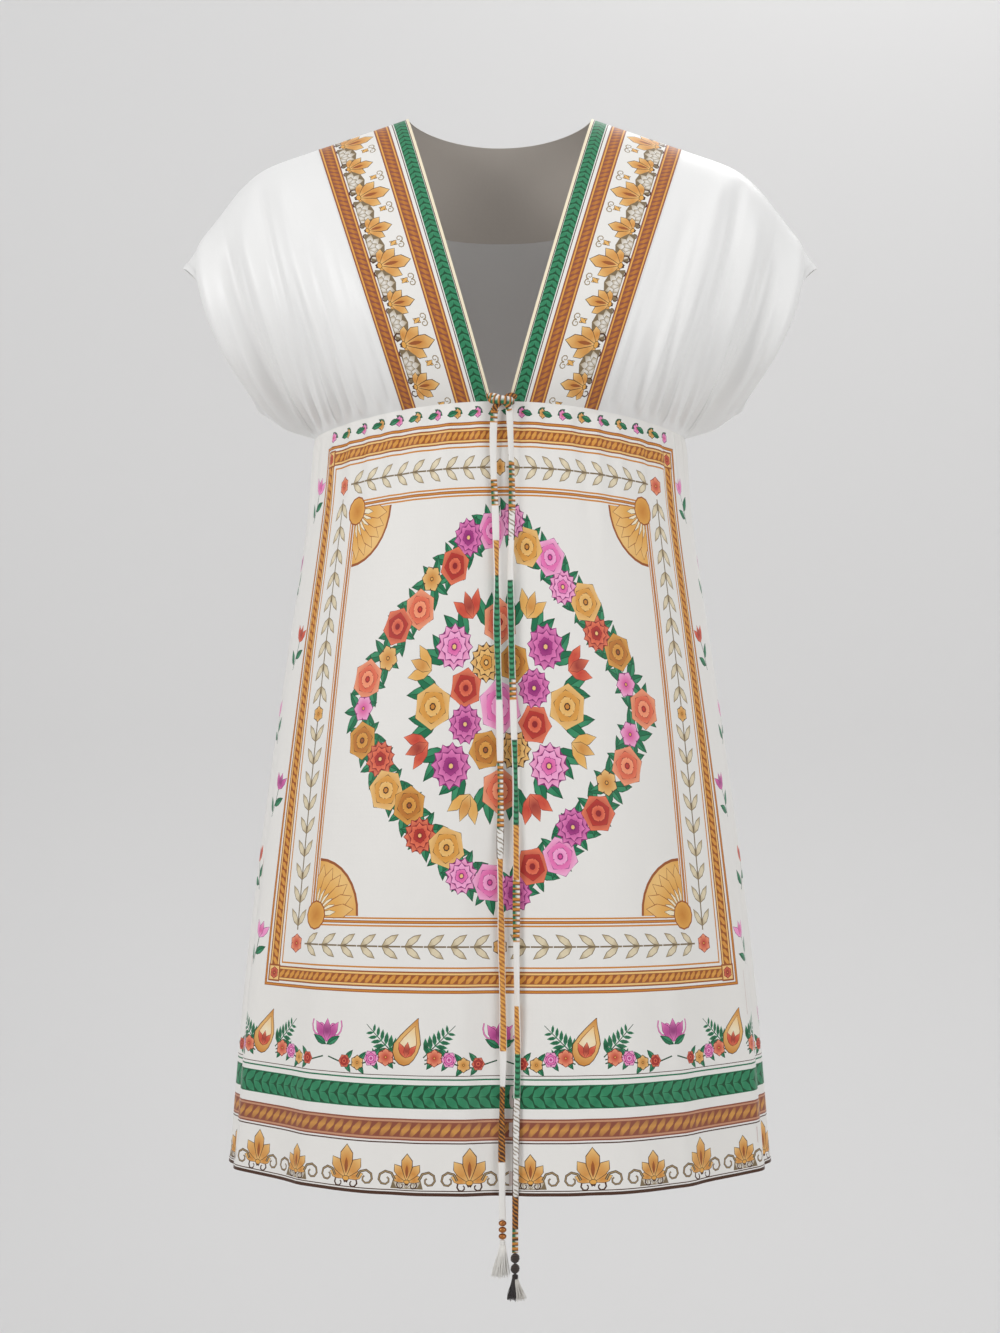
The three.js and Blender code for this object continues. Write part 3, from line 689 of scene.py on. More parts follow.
# The white fronts, each cut in one with its cap sleeve from a silky white satin-backed cloth. The
# shoulder and underarm are seamed, the cuff has a narrow rolled hem, and the foot is gathered by
# hand-drawn threads into the raised waist seam.
SHOULDER = table(
    "share x z",
    (0, BAND_TOP_HALF, -SHOULDER_DROP),
    (0.3, 196, -40),
    (0.5, 217, -57),
    (0.7, 236, -82),
    (0.85, 251, -103),
    (1, 266, -124),
)
SIDE_SHARE = 0.62
UNDERARM = table(
    "share x z",
    (SIDE_SHARE, WAIST_HALF, WAIST_SIDE_Z),
    (0.8, 180, -259),
    (0.9, 192, -251),
    (1, 203, -243),
)
FRONT_FOLDS = table(
    "share width depth start end lean",
    (0.12, 0.035, -2.2, 0.3, 1.0, 0.0),
    (0.24, 0.04, 2.4, 0.15, 0.95, 0.0),
    (0.36, 0.045, -3.4, 0.1, 0.95, 0.0),
    (0.5, 0.05, 3.2, 0.2, 1.0, 0.0),
    (0.63, 0.045, -4.2, 0.25, 1.0, 0.0),
    (0.78, 0.06, 3.4, 0.05, 0.8, 0.0),
    (0.89, 0.055, -3.2, 0.0, 0.55, 0.0),
    (0.06, 0.014, -0.9, 0.45, 1.0, 0.02),
    (0.17, 0.016, 1.1, 0.35, 1.0, 0.03),
    (0.28, 0.013, -1.3, 0.5, 1.0, -0.02),
    (0.33, 0.02, 1.2, 0.25, 0.9, 0.04),
    (0.42, 0.018, -1.5, 0.4, 1.0, 0.05),
    (0.47, 0.02, 1.3, 0.55, 1.0, 0.02),
    (0.55, 0.016, -1.4, 0.35, 0.95, 0.06),
    (0.68, 0.022, 1.6, 0.3, 0.9, 0.07),
    (0.73, 0.02, -1.3, 0.45, 1.0, 0.05),
    (0.84, 0.02, 1.2, 0.1, 0.6, 0.03),
    (0.95, 0.018, 1.0, 0.2, 0.8, -0.03),
)
FOLD_END = 0.18
GATHER_DEPTH = 2.4
FRONT_GATHERS = 9
HEM_FOLD = 6


def foot(share, start, end):
    """The foot of a front or back: the waist seam, and past the side the underarm seam"""
    under = point(along(UNDERARM, "x", share), 0, along(UNDERARM, "z", share))
    seam = waist(mix(start, end, share / SIDE_SHARE))
    return np.where(np.asarray(share)[..., None] <= SIDE_SHARE, seam, under)


def front_base(share, t):
    """The white front on +X: share 0 is its edge at the band and 1 its cuff"""
    top = point(along(SHOULDER, "x", share), 0, along(SHOULDER, "z", share))
    return section(FRONT_SECTIONS, share, top, foot(share, BAND_FOOT_ANGLE, 90), t)


def folds(rows, share, t):
    """Long soft folds, each over its own stretch and leaning a little over its length"""
    total = 0
    for at, width, depth, start, end, lean in zip(*rows.values()):
        run_in = smooth(start, start + FOLD_END, t) * (1 - smooth(end - FOLD_END, end, t))
        total = total + depth * bump(share, at + lean * (t - 0.5), width) * run_in
    return total


def gathers(share, t, count):
    """Gathers over the waist seam, uneven in depth and length, and pressed flat in the stitching"""
    across = np.clip(share / SIDE_SHARE, 0, 1)
    edges = smooth(0, 0.08, across) * (1 - smooth(0.86, 1, across))
    length = 0.6 - 0.12 * np.sin(23 * across + 1)
    height = smooth(length, 0.92, t) * (1 - smooth(0.95, 1, t))
    turn = count * (across + 0.02 * np.sin(15 * across))
    fine = 0.45 * np.sin(2 * np.pi * 2.3 * turn + 1.7) * smooth(0.78, 0.93, t)
    size = GATHER_DEPTH * (0.75 + 0.25 * np.sin(31 * across))
    return size * edges * height * (np.sin(2 * np.pi * turn) + fine)


def raised(base, height, side, step):
    """A surface moved out along its normal by a height"""
    def surface(u, v):
        return base(u, v) + normals(base, u, v, step) * side * height(u, v)[..., None]
    return surface


front = raised(
    front_base, lambda u, t: folds(FRONT_FOLDS, u, t) + gathers(u, t, FRONT_GATHERS), -1, NORMAL_STEP
)


HEM_RISE = 0.7
STITCH_DEPTH = 0.4


def rolled(distance):
    """The thickness that a narrow turned hem adds, with the groove of its stitching"""
    fold = HEM_RISE * (1 - smooth(HEM_FOLD - 0.5, HEM_FOLD + 0.5, distance))
    return fold - STITCH_DEPTH * bump(distance, HEM_FOLD, 0.6)


def grid_cloth(name, surface, us, vs, side, extra, mirror, material):
    """A closed thin cloth over a grid, raised by what extra gives for its flat place, in millimetres"""
    u, v = np.meshgrid(us, vs, indexing="ij")
    p = surface(u, v)
    n = normals(surface, u, v, NORMAL_STEP) * side
    across = np.array([lengths(row) for row in p.transpose(1, 0, 2)]).T
    down = np.array([lengths(row) for row in p])
    p = p + n * extra(across)[..., None]
    flip = np.array([-1 if mirror else 1, 1, 1])
    outer, n = (p * flip).reshape(-1, 3), (n * flip).reshape(-1, 3)
    inner = outer - n * CLOTH_THICK
    count = len(us) * len(vs)
    k = np.arange(count).reshape(len(us), len(vs))
    quads = np.stack([k[:-1, :-1], k[1:, :-1], k[1:, 1:], k[:-1, 1:]], -1).reshape(-1, 4)
    ring = np.concatenate([k[0, :-1], k[:-1, -1], k[-1, :0:-1], k[:0:-1, 0]])
    ahead = np.roll(ring, -1)
    rim = np.stack([ring, ahead, ahead + count, ring + count], -1)
    middle = quads[len(quads) // 2]
    a, b, c = outer[middle[:3]]
    if np.dot(np.cross(b - a, c - a), n[middle[0]]) < 0:
        quads, rim = quads[:, ::-1], rim[:, ::-1]
    faces = np.vstack([quads, quads[:, ::-1] + count, rim])
    loops = faces.ravel()
    flat = np.stack([across, down], -1).reshape(-1, 2) / 1000
    both = np.vstack([n, -n])
    return new_piece(
        name, np.vstack([outer, inner]), faces.tolist(), both[loops], np.vstack([flat, flat])[loops],
        None, material,
    )


def closer(count, near_end):
    """Steps from 0 to 1, packed closer towards 1 by the share given"""
    w = np.linspace(0, 1, count)
    return w + near_end * (np.sin(np.pi * w / 2) - w)


# Silky white satin-backed cloth: smooth and softly shiny, with a thread too fine to see. Its grain is
# faint ridges 3.1 mm apart, with shallow waves from handling.
white_satin, nodes = new_material("white_satin_backed_viscose")
grain = woven(nodes, 3.1416, 0.00006)
surface = add(nodes, "ShaderNodeBsdfPrincipled", {
    "Base Color": (*linear("#EDECEA"), 1), "Roughness": 0.42, "Specular IOR Level": 0.45,
    "Sheen Weight": 0.22, "Sheen Roughness": 0.35, "Subsurface Weight": 0.08,
    "Subsurface Radius": (0.004, 0.004, 0.004), "Normal": grain.outputs[0]})
add(nodes, "ShaderNodeOutputMaterial", {"Surface": surface.outputs[0]})

columns, rows = closer(130, 0.25), closer(110, 0.4)
cuff = lambda across: rolled(across.max(0, keepdims=True) - across)
for letter in "rl":
    piece = grid_cloth("white_front_" + letter, front, columns, rows, -1, cuff, letter == "l", white_satin)
    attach(piece, "root")
    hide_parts("bodice_front_" + letter)

# The back: one wide piece of the same white cloth from cuff to cuff, sewn to the printed yoke above
# and gathered into the waist seam below.
NECK_BACK_DEPTH = 52
NECK_BACK_DROP = 16
YOKE_DEPTH = 82
YOKE_DROP = 68
YOKE_CROWN = 5
YOKE_SHARE = 0.45
BACK_SECTIONS = table(
    "share ax ay az bx by bz",
    (0, 0, 12, -33, 0, 24, 56),
    (0.15, 6, 16, -32, 10, 34, 58),
    (0.3, 12, 26, -28, 22, 52, 60),
    (0.45, 6, 46, -8, 30, 72, 62),
    (0.62, 8, 50, -9, 44, 92, 56),
    (0.8, 15, 46, -12, 50, 76, 40),
    (0.9, 4, 50, -12, 36, 66, 34),
    (1, -25, 54, -12, 12, 56, 30),
)
BACK_FOLDS = table(
    "share width depth start end lean",
    (0.1, 0.05, -3.0, 0.2, 1.0, 0.0),
    (0.27, 0.05, -3.2, 0.15, 1.0, 0.0),
    (0.42, 0.05, 3.0, 0.1, 0.95, 0.0),
    (0.57, 0.05, -4.0, 0.2, 1.0, 0.0),
    (0.75, 0.06, 3.2, 0.1, 0.8, 0.0),
    (0.89, 0.055, -3.0, 0.0, 0.55, 0.0),
    (0.05, 0.012, 0.9, 0.5, 1.0, 0.0),
    (0.16, 0.014, -1.1, 0.35, 1.0, 0.02),
    (0.22, 0.013, 1.2, 0.5, 1.0, -0.02),
    (0.34, 0.016, -1.2, 0.3, 1.0, 0.03),
    (0.38, 0.015, 1.1, 0.55, 1.0, 0.02),
    (0.5, 0.02, 1.4, 0.3, 0.9, 0.05),
    (0.64, 0.02, -1.3, 0.4, 1.0, 0.06),
    (0.7, 0.02, 1.3, 0.25, 0.85, 0.05),
    (0.83, 0.02, -1.1, 0.15, 0.6, 0.02),
    (0.95, 0.018, 0.9, 0.2, 0.8, -0.03),
)
BACK_GATHERS = 12


def yoke(share, t):
    """The yoke: share runs from the seam on +X round the back to -X, and t from the neck to its foot"""
    c = np.cos(np.pi * share)
    s = np.maximum(0, np.sin(np.pi * share))
    fall = s**1.6
    neck = point(NECK_HALF * c, NECK_BACK_DEPTH * s, NECK_TOP - NECK_BACK_DROP * fall)
    outer = point(
        BAND_TOP_HALF * np.sign(c) * np.abs(c) ** 0.85, YOKE_DEPTH * s, -SHOULDER_DROP - YOKE_DROP * fall
    )
    crown = YOKE_CROWN * np.sin(np.pi * np.asarray(t)) * s
    return mix(neck, outer, np.asarray(t, float)[..., None]) + point(0 * crown, crown, crown)


def back_base(share, t):
    """The white back: share 0 is the centre, 1 the cuff on +X and -1 the cuff on -X"""
    side = np.where(np.asarray(share) < 0, -1.0, 1.0)
    share = np.abs(share)
    over = (share - YOKE_SHARE) / (1 - YOKE_SHARE)
    seam = point(along(SHOULDER, "x", over), 0, along(SHOULDER, "z", over))
    under_yoke = yoke(0.5 - 0.5 * np.minimum(share, YOKE_SHARE) / YOKE_SHARE, np.ones_like(share))
    top = np.where((share < YOKE_SHARE)[..., None], under_yoke, seam)
    p = section(BACK_SECTIONS, share, top, foot(share, 180, 90), t)
    return p * point(side, 1, 1)


back = raised(
    back_base,
    lambda u, t: folds(BACK_FOLDS, np.abs(u), t) + gathers(np.abs(u), t, BACK_GATHERS),
    1,
    NORMAL_STEP,
)
half = closer(112, 0.25)
columns = np.concatenate([-half[:0:-1], half])
cuffs = lambda across: rolled(np.minimum(across, across.max(0, keepdims=True) - across))
piece = grid_cloth("white_back", back, columns, rows, 1, cuffs, False, white_satin)
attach(piece, "root")
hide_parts("bodice_back")

# The yoke across the back neck: a curved cut of the printed border cloth, faced along the neck edge
# and sewn to both shoulder seams and to the white back.
yoke_middle = yoke(spread, 0.5 + 0 * spread)
yoke_line = lengths(yoke_middle)
YOKE_LENGTH = yoke_line[-1]
OUT_OF_YOKE = np.array([0, 0.5, 1])


def yoke_place(flat):
    """Where the flat yoke goes: x from the neck to its foot and y round the neck"""
    share = np.interp(flat[:, 1], yoke_line, spread)
    t = flat[:, 0] / BAND_WIDTH
    n = -normals(yoke, np.clip(share, 0.01, 0.99), np.clip(t, 0.01, 0.99), NORMAL_STEP)
    n = np.where((n @ OUT_OF_YOKE < 0)[:, None], -n, n)
    return yoke(share, t), n


yoke_cut = cut_apart(band_print(YOKE_LENGTH, 11), grid(BAND_WIDTH, YOKE_LENGTH, 9, 7), 3)
piece = printed_cloth("printed_yoke", yoke_cut, yoke_place, printed_viscose)
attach(piece, "root")
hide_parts("yoke_back")

# The skirt: a printed front and back, sewn at the sides, gathered a little into the waist seam and
# hemmed with a narrow rolled edge. Each panel is one scarf-like composition of borders, vine, garland
# and rosette in a general folk style.
HEM_SIDE_Z = -872
HEM_FRONT_DROP = 7
HEM_BACK_DROP = 4
SKIRT_LENGTH = 620
PANEL_HALF = 298
SKIRT_LEVELS = table(
    "drop half front back",
    (0, WAIST_HALF, WAIST_FRONT, WAIST_BACK),
    (0.11, 161, 112, 103),
    (0.3, 178, 123, 118),
    (0.52, 197, 133, 130),
    (0.75, 214, 142, 139),
    (1, 227, 149, 145),
)
SKIRT_FOLDS = table(
    "angle width depth start lean",
    (0, 11, -15, 0, 0),
    (26, 13, 7, 0.1, 0),
    (-28, 14, 6.5, 0.08, 0),
    (52, 9, -5, 0.35, 0),
    (-55, 10, -5.5, 0.3, 0),
    (118, 12, -9, 0.2, 0),
    (146, 12, 6, 0.1, 0),
    (172, 10, -9, 0.1, 0),
    (202, 12, 6, 0.2, 0),
    (236, 13, -9, 0.15, 0),
    (-10, 3.2, 2.2, 0.25, 3),
    (9, 2.8, 1.8, 0.4, -3),
    (17, 3.5, -1.8, 0.3, 2),
    (-20, 3.2, -1.6, 0.45, -2),
    (38, 3.6, 2.0, 0.5, 4),
    (-41, 4.0, 1.8, 0.42, -4),
    (66, 4.2, 2.4, 0.3, 3),
    (-69, 4.2, 2.2, 0.36, -2),
    (79, 3.6, -2.4, 0.22, 0),
    (-80, 3.4, -2.2, 0.25, 0),
    (104, 4.0, 2.4, 0.4, 2),
    (131, 3.6, -2.2, 0.35, 2),
    (158, 3.6, 2.0, 0.5, -3),
    (187, 4.0, 2.2, 0.3, 2),
    (217, 3.6, -2.0, 0.45, 3),
    (252, 4.0, 2.2, 0.3, -2),
)
NARROW_FOLD = 5
NARROW_DEEPER = 1.7
SKIRT_GATHERS = 40
SKIRT_GATHER_DEPTH = 1.8
SKIRT_HEM = 0.8
SKIRT_STEP = (0.5, 0.005)


def skirt_base(angle, drop):
    """The skirt without its folds: drop runs from 0 at the waist seam to 1 at the hem"""
    s, c = np.sin(angle * DEGREE), np.cos(angle * DEGREE)
    depth = np.where(c > 0, along(SKIRT_LEVELS, "front", drop), along(SKIRT_LEVELS, "back", drop))
    hem = HEM_SIDE_Z - np.where(c > 0, HEM_FRONT_DROP, HEM_BACK_DROP) * c * c
    top = waist(angle)[..., 2]
    return point(along(SKIRT_LEVELS, "half", drop) * s, -depth * c, mix(top, hem, drop))


def skirt_height(angle, drop):
    """Long folds that open towards the hem, and short gathers under the waist seam"""
    total = 0
    for at, width, depth, start, lean in zip(*SKIRT_FOLDS.values()):
        grown = smooth(start, 1, drop)
        away = (angle - at - lean * drop + 180) % 360 - 180
        deeper = NARROW_DEEPER if width < NARROW_FOLD else 1.0
        total = total + deeper * depth * bump(away, 0, width) * mix(grown, np.sqrt(grown), 0.75)
    wave = np.sin(angle * 9 * DEGREE)
    turn = SKIRT_GATHERS * angle / 360 + 0.12 * wave
    reach = 0.1 + 0.035 * np.sin(angle * 13 * DEGREE + 1) + 0.02 * np.sin(angle * 31 * DEGREE)
    pressed = 1 - np.exp(-np.maximum(0, drop) / 0.012)
    fade = pressed * np.exp(-((drop / reach) ** 2))
    fine = 0.4 * np.sin(2 * np.pi * 2.2 * turn + 0.6) * np.exp(-((drop / 0.05) ** 2))
    size = SKIRT_GATHER_DEPTH * (0.8 + 0.2 * np.sin(angle * 17 * DEGREE))
    return total + size * fade * (np.sin(2 * np.pi * turn) + fine)


skirt = raised(skirt_base, skirt_height, -1, SKIRT_STEP)
turn_steps = np.linspace(-90, 90, 721)


def panel_angles(centre):
    """Angles round the skirt at even distances along the hem, from side seam to side seam"""
    hem_line = lengths(skirt_base(centre + turn_steps, np.ones_like(turn_steps)))
    return hem_line / hem_line[-1] * 2 * PANEL_HALF - PANEL_HALF


def skirt_place(centre):
    """Where a flat skirt panel goes: x from its middle line and y up from its hem"""
    across = panel_angles(centre)

    def place(flat):
        angle = centre + np.interp(flat[:, 0], across, turn_steps)
        drop = 1 - flat[:, 1] / SKIRT_LENGTH
        n = -normals(skirt, angle, drop, SKIRT_STEP)
        p = skirt(angle, drop) + n * rolled(flat[:, 1])[:, None] * SKIRT_HEM
        return p, n

    return place


def fern(length):
    """A green frond: paired leaflets that shorten towards the tip"""
    shapes = [shape(stroke([(0, 0), (0, length)], 1.0, 0.5), DARK_GREEN)]
    pairs = 6
    for k in range(pairs):
        y = length * (0.1 + 0.78 * k / pairs)
        size = length * (0.36 - 0.2 * k / pairs)
        for side in (-1, 1):
            one = [shape(petal(size, size * 0.36, 0.9, 1.0, 3), DARK_GREEN, LIGHT_GREEN)]
            shapes += moved(one, 0, y, -side * 52)
    return shapes


def paisley(height):
    """A gold paisley with a bud inside it"""
    a = np.linspace(0, 2 * np.pi, 18)[:-1]
    body = np.column_stack([np.sin(a) * 0.3, 0.36 - 0.36 * np.cos(a)])
    bend = body[:, 1] ** 2 * 0.55
    pinch = 1 - 0.92 * np.clip((body[:, 1] - 0.3) / 0.45, 0, 1) ** 1.2
    outline = np.column_stack([body[:, 0] * pinch + bend, body[:, 1] * 1.32]) * height
    shapes = outlined(outline, OUTLINE, PALE_GOLD, OCHRE, 0.7)
    inside = outline.mean(0) + (outline - outline.mean(0)) * 0.66
    shapes += outlined(inside, ORANGE_BROWN, CREAM, PALE_GOLD, 0.6)
    shapes += moved(tulip(height * 0.34, *RED_INKS), height * 0.03, height * 0.16, -8)
    return shapes


def sprig(height, inks):
    """A small twig with a bud and two leaves"""
    shapes = [shape(stroke([(0, 0), (height * 0.04, height * 0.35), (0, height * 0.66)], 0.9), DARK_GREEN)]
    shapes += moved(leaf(height * 0.4, height * 0.17), 0, height * 0.1, 50)
    shapes += moved(leaf(height * 0.4, height * 0.17), 0, height * 0.25, -48)
    return shapes + moved(tulip(height * 0.4, *inks), 0, height * 0.6)


def vine(start, end, pitch):
    """A beige vine of paired leaves along a straight line"""
    pair = [shape(stroke([(-pitch / 2, 0), (pitch / 2, 0)], 1.3), TAUPE)]
    for side in (-1, 1):
        one = outlined(petal(pitch * 0.92, pitch * 0.34, 0.9, 1.0, 3), TAUPE, CREAM, BEIGE, 0.8)
        pair += moved(one, -pitch * 0.35, 0, -90 + side * 34)
    return run(pair, start, end, pitch)


def box_lines(low, high, inset, width, ink):
    """A rectangular line inside a frame"""
    (x0, y0), (x1, y1) = (low[0] + inset, low[1] + inset), (high[0] - inset, high[1] - inset)
    shapes = []
    for a, b in (((x0, y0), (x1, y0)), ((x1, y0), (x1, y1)), ((x1, y1), (x0, y1)), ((x0, y1), (x0, y0))):
        way = (np.array(b) - a) / np.linalg.norm(np.array(b) - a) * width / 2
        shapes.append(shape(stroke([a - way, b + way], width), ink))
    return shapes


def corner_fan(radius):
    """A quarter fan of gold blades in the first quadrant"""
    a = np.linspace(0, np.pi / 2, 9)
    arc = lambda r: np.column_stack([r * np.cos(a), r * np.sin(a)])
    shapes = [shape(np.vstack([[0, 0], arc(radius)]), ORANGE_BROWN)]
    shapes.append(shape(np.vstack([[1.5, 1.5], arc(radius - 2.2)]), PALE_GOLD, GOLD))
    blade = outlined(petal(radius * 0.9, radius * 0.25, 1.7, 0.6), ORANGE_BROWN, GOLD, PALE_GOLD, 0.8)
    blade += outlined(petal(radius * 0.5, radius * 0.1, 1.5, 0.7), OUTLINE, CREAM, CREAM, 0.6)
    blades = 6
    for k in range(blades):
        shapes += moved(blade, turn=-(k + 0.5) * 90 / blades)
    shapes += outlined(disc(radius * 0.26, 12), ORANGE_BROWN, OCHRE, GOLD, 1.2)
    return shapes


def quarter(shapes, x, y, way_x, way_y):
    """A motif of the first quadrant set in a corner"""
    flip = np.array([way_x, way_y])
    return [[p * flip + [x, y], a, b, c * flip + [x, y], r] for p, a, b, c, r in shapes]


# Kinds of garland flower, each a drawing function, its inks and its radius
GARLAND_FLOWERS = [
    (rose, CORAL_INKS, 17),
    (dahlia, MAGENTA_INKS, 16),
    (rose, GOLD_INKS, 17.5),
    (daisy, PINK_INKS, 11),
    (rose, RED_INKS, 16),
    (dahlia, PINK_INKS, 15),
    (rose, BROWN_INKS, 16),
    (daisy, GOLD_INKS, 11),
    (rose, PINK_INKS, 16.5),
    (dahlia, RED_INKS, 15),
]


def garland(cx, cy, half_x, half_y, count, roundness):
    """A lozenge of flowers and leaves round a centre"""
    a = np.linspace(0, 2 * np.pi, 1441)
    c, s = np.cos(a), np.sin(a)
    r = (np.abs(c / half_x) ** roundness + np.abs(s / half_y) ** roundness) ** (-1 / roundness)
    ring = np.column_stack([cx + r * c, cy + r * s])
    distance = lengths(ring)
    shapes, heads = [], []
    for k in range(count):
        at = distance[-1] * k / count
        x, y = (np.interp(at, distance, ring[:, i]) for i in (0, 1))
        ahead = [np.interp((at + 4) % distance[-1], distance, ring[:, i]) for i in (0, 1)]
        way = math.degrees(math.atan2(ahead[1] - y, ahead[0] - x))
        draw, inks, radius = GARLAND_FLOWERS[(k * 3 + k // 7) % len(GARLAND_FLOWERS)]
        side = 1 if k % 2 else -1
        for lean, size in ((38, 25), (142, 22), (90, 20)):
            shapes += moved(leaf(size, size * 0.4), x, y, way - 90 + side * lean)
            shapes += moved(leaf(size * 0.9, size * 0.38), x, y, way - 90 - side * (lean + 12))
        off = side * 4.5
        x, y = x - off * math.sin(way * DEGREE), y + off * math.cos(way * DEGREE)
        heads += moved(draw(radius, *inks), x, y, 37 * k)
    return shapes + heads


def bouquet(cx, cy):
    """The middle rosette: a big flower in two rings of eight, with leaves and buds pointing out"""
    shapes = []

    def place(motif, radius, turn, spin):
        x, y = cx - radius * math.sin(turn * DEGREE), cy + radius * math.cos(turn * DEGREE)
        shapes.extend(moved(motif, x, y, spin))

    for k in range(16):
        turn = k * 22.5 + 11.25
        place(leaf(32, 12.5), 62, turn, turn + 16)
        place(leaf(29, 12), 62, turn, turn - 18)
    for k in range(8):
        turn = k * 45 + 22.5
        place(tulip(25, *(RED_INKS, GOLD_INKS)[k % 2]), 74, turn, turn)
    for k in range(8):
        inks = (CORAL_INKS, PINK_INKS, GOLD_INKS, MAGENTA_INKS)[k % 4]
        place((rose, dahlia)[k % 2](19, *inks), 66, k * 45, 29 * k)
    for k in range(8):
        inks = (GOLD_INKS, RED_INKS, MAGENTA_INKS, BROWN_INKS)[k % 4]
        place((dahlia, rose)[k % 2](16.5, *inks), 37, k * 45 + 22.5, 53 * k)
    return shapes + moved(rose(22, *PINK_INKS), cx, cy, 10)


FRAME_HALF = 230
FRAME_LOW = 158
FRAME_HIGH = 603


def skirt_print():
    """The skirt panel's design, in millimetres from its middle line and up from its hem"""
    full = PANEL_HALF
    shapes = bar(-full, 0, full, SKIRT_LENGTH, WHITE)
    # Hem borders: dark edge, palmettes, brown rope, green braid and fine lines
    shapes += bar(-full, 0, full, 2.6, OUTLINE)
    shapes += bar(-full, 3.6, full, 4.4, OUTLINE)
    standing = palmette(33)
    between = fan_net(13) + moved(palmette(27), 0, 1)
    count = 12
    pitch = 2 * full / count
    for k in range(count):
        x = -full + (k + 0.5) * pitch
        shapes += moved(standing if k % 2 else between, x, 5.2)
        for side in (-1, 1):
            shapes += moved(scroll(7.4, side), x + side * 10.5, 12)
    shapes += bar(-full, 40.2, full, 41.2, OUTLINE)
    shapes += rope((-full, 51), (full, 51), 17, "#C79272", ROPE_BROWN, GOLD, ROPE_BROWN, 8)
    shapes += braid((-full, 76.5), (full, 76.5), 18.5, 9)
    shapes += bar(-full, 89.4, full, 90.6, GREEN)
    shapes += bar(-full, 92.6, full, 93.2, OUTLINE)
    # Frieze of paisleys, ferns and small roses on a running stem
    pitch = 2 * full / 4
    for k in range(4):
        x = -full + (k + 0.5) * pitch
        for side in (-1, 1):
            stem = [(x + side * (12 + 10 * j), 102 + 3 * math.sin(j * 1.25)) for j in range(7)]
            shapes.append(shape(stroke(stem, 1.1), DARK_GREEN))
            shapes += moved(fern(36), x + side * 11, 107, -side * 46)
            shapes += moved(fern(24), x + side * 12, 105, -side * 76)
            for j, inks in enumerate((CORAL_INKS, PINK_INKS, GOLD_INKS, RED_INKS)):
                sx, sy = x + side * (20 + 12 * j), 104 + 3 * math.sin((0.9 + 1.2 * j) * 1.25)
                shapes += moved(leaf(12, 5), sx, sy, side * 40)
                shapes += moved(leaf(11, 5), sx, sy, 180 - side * 35)
                shapes += moved((rose if j % 2 else daisy)(7.2 - 0.5 * j, *inks), sx, sy, 30 * j)
        shapes += moved(paisley(40), x - 5, 100)
        bx = x + pitch / 2
        for side in (-1, 1):
            a = np.linspace(0, 2.2 * np.pi, 15)
            curl = np.column_stack([side * (1.2 * a * np.cos(a) + 7), 1.4 * a * np.sin(a)])
            shapes += moved([shape(stroke(curl, 1.9, 0.3), DEEP_MAGENTA)], bx, 128)
            shapes += moved([shape(stroke(curl, 1.1, 0.3), PINK)], bx, 128)
        shapes += moved(tulip(20, *MAGENTA_INKS), bx, 116)
        shapes += moved(leaf(15, 6), bx, 114, 60) + moved(leaf(15, 6), bx, 114, -60)
    # Frame of three ochre lines, a gold rope and the vine
    low, high = (-FRAME_HALF, FRAME_LOW), (FRAME_HALF, FRAME_HIGH)
    shapes += box_lines(low, high, 0, 2.6, ORANGE_BROWN) + box_lines(low, high, 0, 1.3, OCHRE)
    corners = [(low[0], low[1]), (high[0], low[1]), (high[0], high[1]), (low[0], high[1])]
    inset = 9.5
    ways = [(1, 1), (-1, 1), (-1, -1), (1, -1)]
    ring = [np.array(c) + np.array(w) * inset for c, w in zip(corners, ways)]
    for a, b in zip(ring, ring[1:] + ring[:1]):
        shapes += rope(a, b, 12.5, PALE_GOLD, ORANGE_BROWN, GOLD, OCHRE, 6.6)
    for c, w in zip(corners, ways):
        x, y = np.array(c) + np.array(w) * inset
        shapes += bar(x - 7, y - 7, x + 7, y + 7, ORANGE_BROWN)
        shapes += bar(x - 5.6, y - 5.6, x + 5.6, y + 5.6, PALE_GOLD)
        shapes += moved(daisy(5.2, *RED_INKS), x, y)
    shapes += box_lines(low, high, 18.6, 1.3, OCHRE)
    inset = 35
    ring = [np.array(c) + np.array(w) * inset for c, w in zip(corners, ways)]
    for k, (a, b) in enumerate(zip(ring, ring[1:] + ring[:1])):
        way = (b - a) / np.linalg.norm(b - a)
        middle = (a + b) / 2
        shapes += vine(a + way * 11, middle - way * 7, 19) + vine(b - way * 11, middle + way * 7, 19)
        shapes += moved(daisy(7, *GOLD_INKS), *middle)
        shapes += moved(daisy(8, *CORAL_INKS), *a)
    for at, width, ink in ((51, 1.3, OCHRE), (54, 2.4, ORANGE_BROWN), (54, 1.2, OCHRE), (57, 1.3, OCHRE)):
        shapes += box_lines(low, high, at, width, ink)
    # Field: corner fans, garland and middle rosette
    for c, w in zip(corners, ways):
        shapes += quarter(corner_fan(46), *(np.array(c) + np.array(w) * 58.5), *w)
    middle_y = (FRAME_LOW + FRAME_HIGH) / 2
    shapes += garland(0, middle_y, 142, 146, 34, 1.28)
    shapes += bouquet(0, middle_y)
    # Sprigs beside the frame, and leaves above it
    for side in (-1, 1):
        for k in range(7):
            x = side * (FRAME_HALF + 22 + 24 * (k % 2))
            inks = (PINK_INKS, RED_INKS, MAGENTA_INKS)[k % 3]
            shapes += moved(sprig(40, inks), x, 172 + 62 * k, side * (18 - 36 * (k % 2)))
        for k in range(9):
            shapes += moved(leaf(13, 5.5), side * (14 + 24 * k), 610, side * 78)
            shapes += moved(leaf(11, 5), side * (20 + 24 * k), 611, -side * 60)
            shapes += moved(daisy(4.6, *(PINK_INKS, GOLD_INKS)[k % 2]), side * (26 + 24 * k), 611.5)
    return shapes


# Strips of the flat panel: where each starts and ends, and how far apart its points are
SPOT_STRIPS = ((1, 500, 10.5, 12), (500, 560, 6.5, 8), (560, 619, 3.6, 4.8))


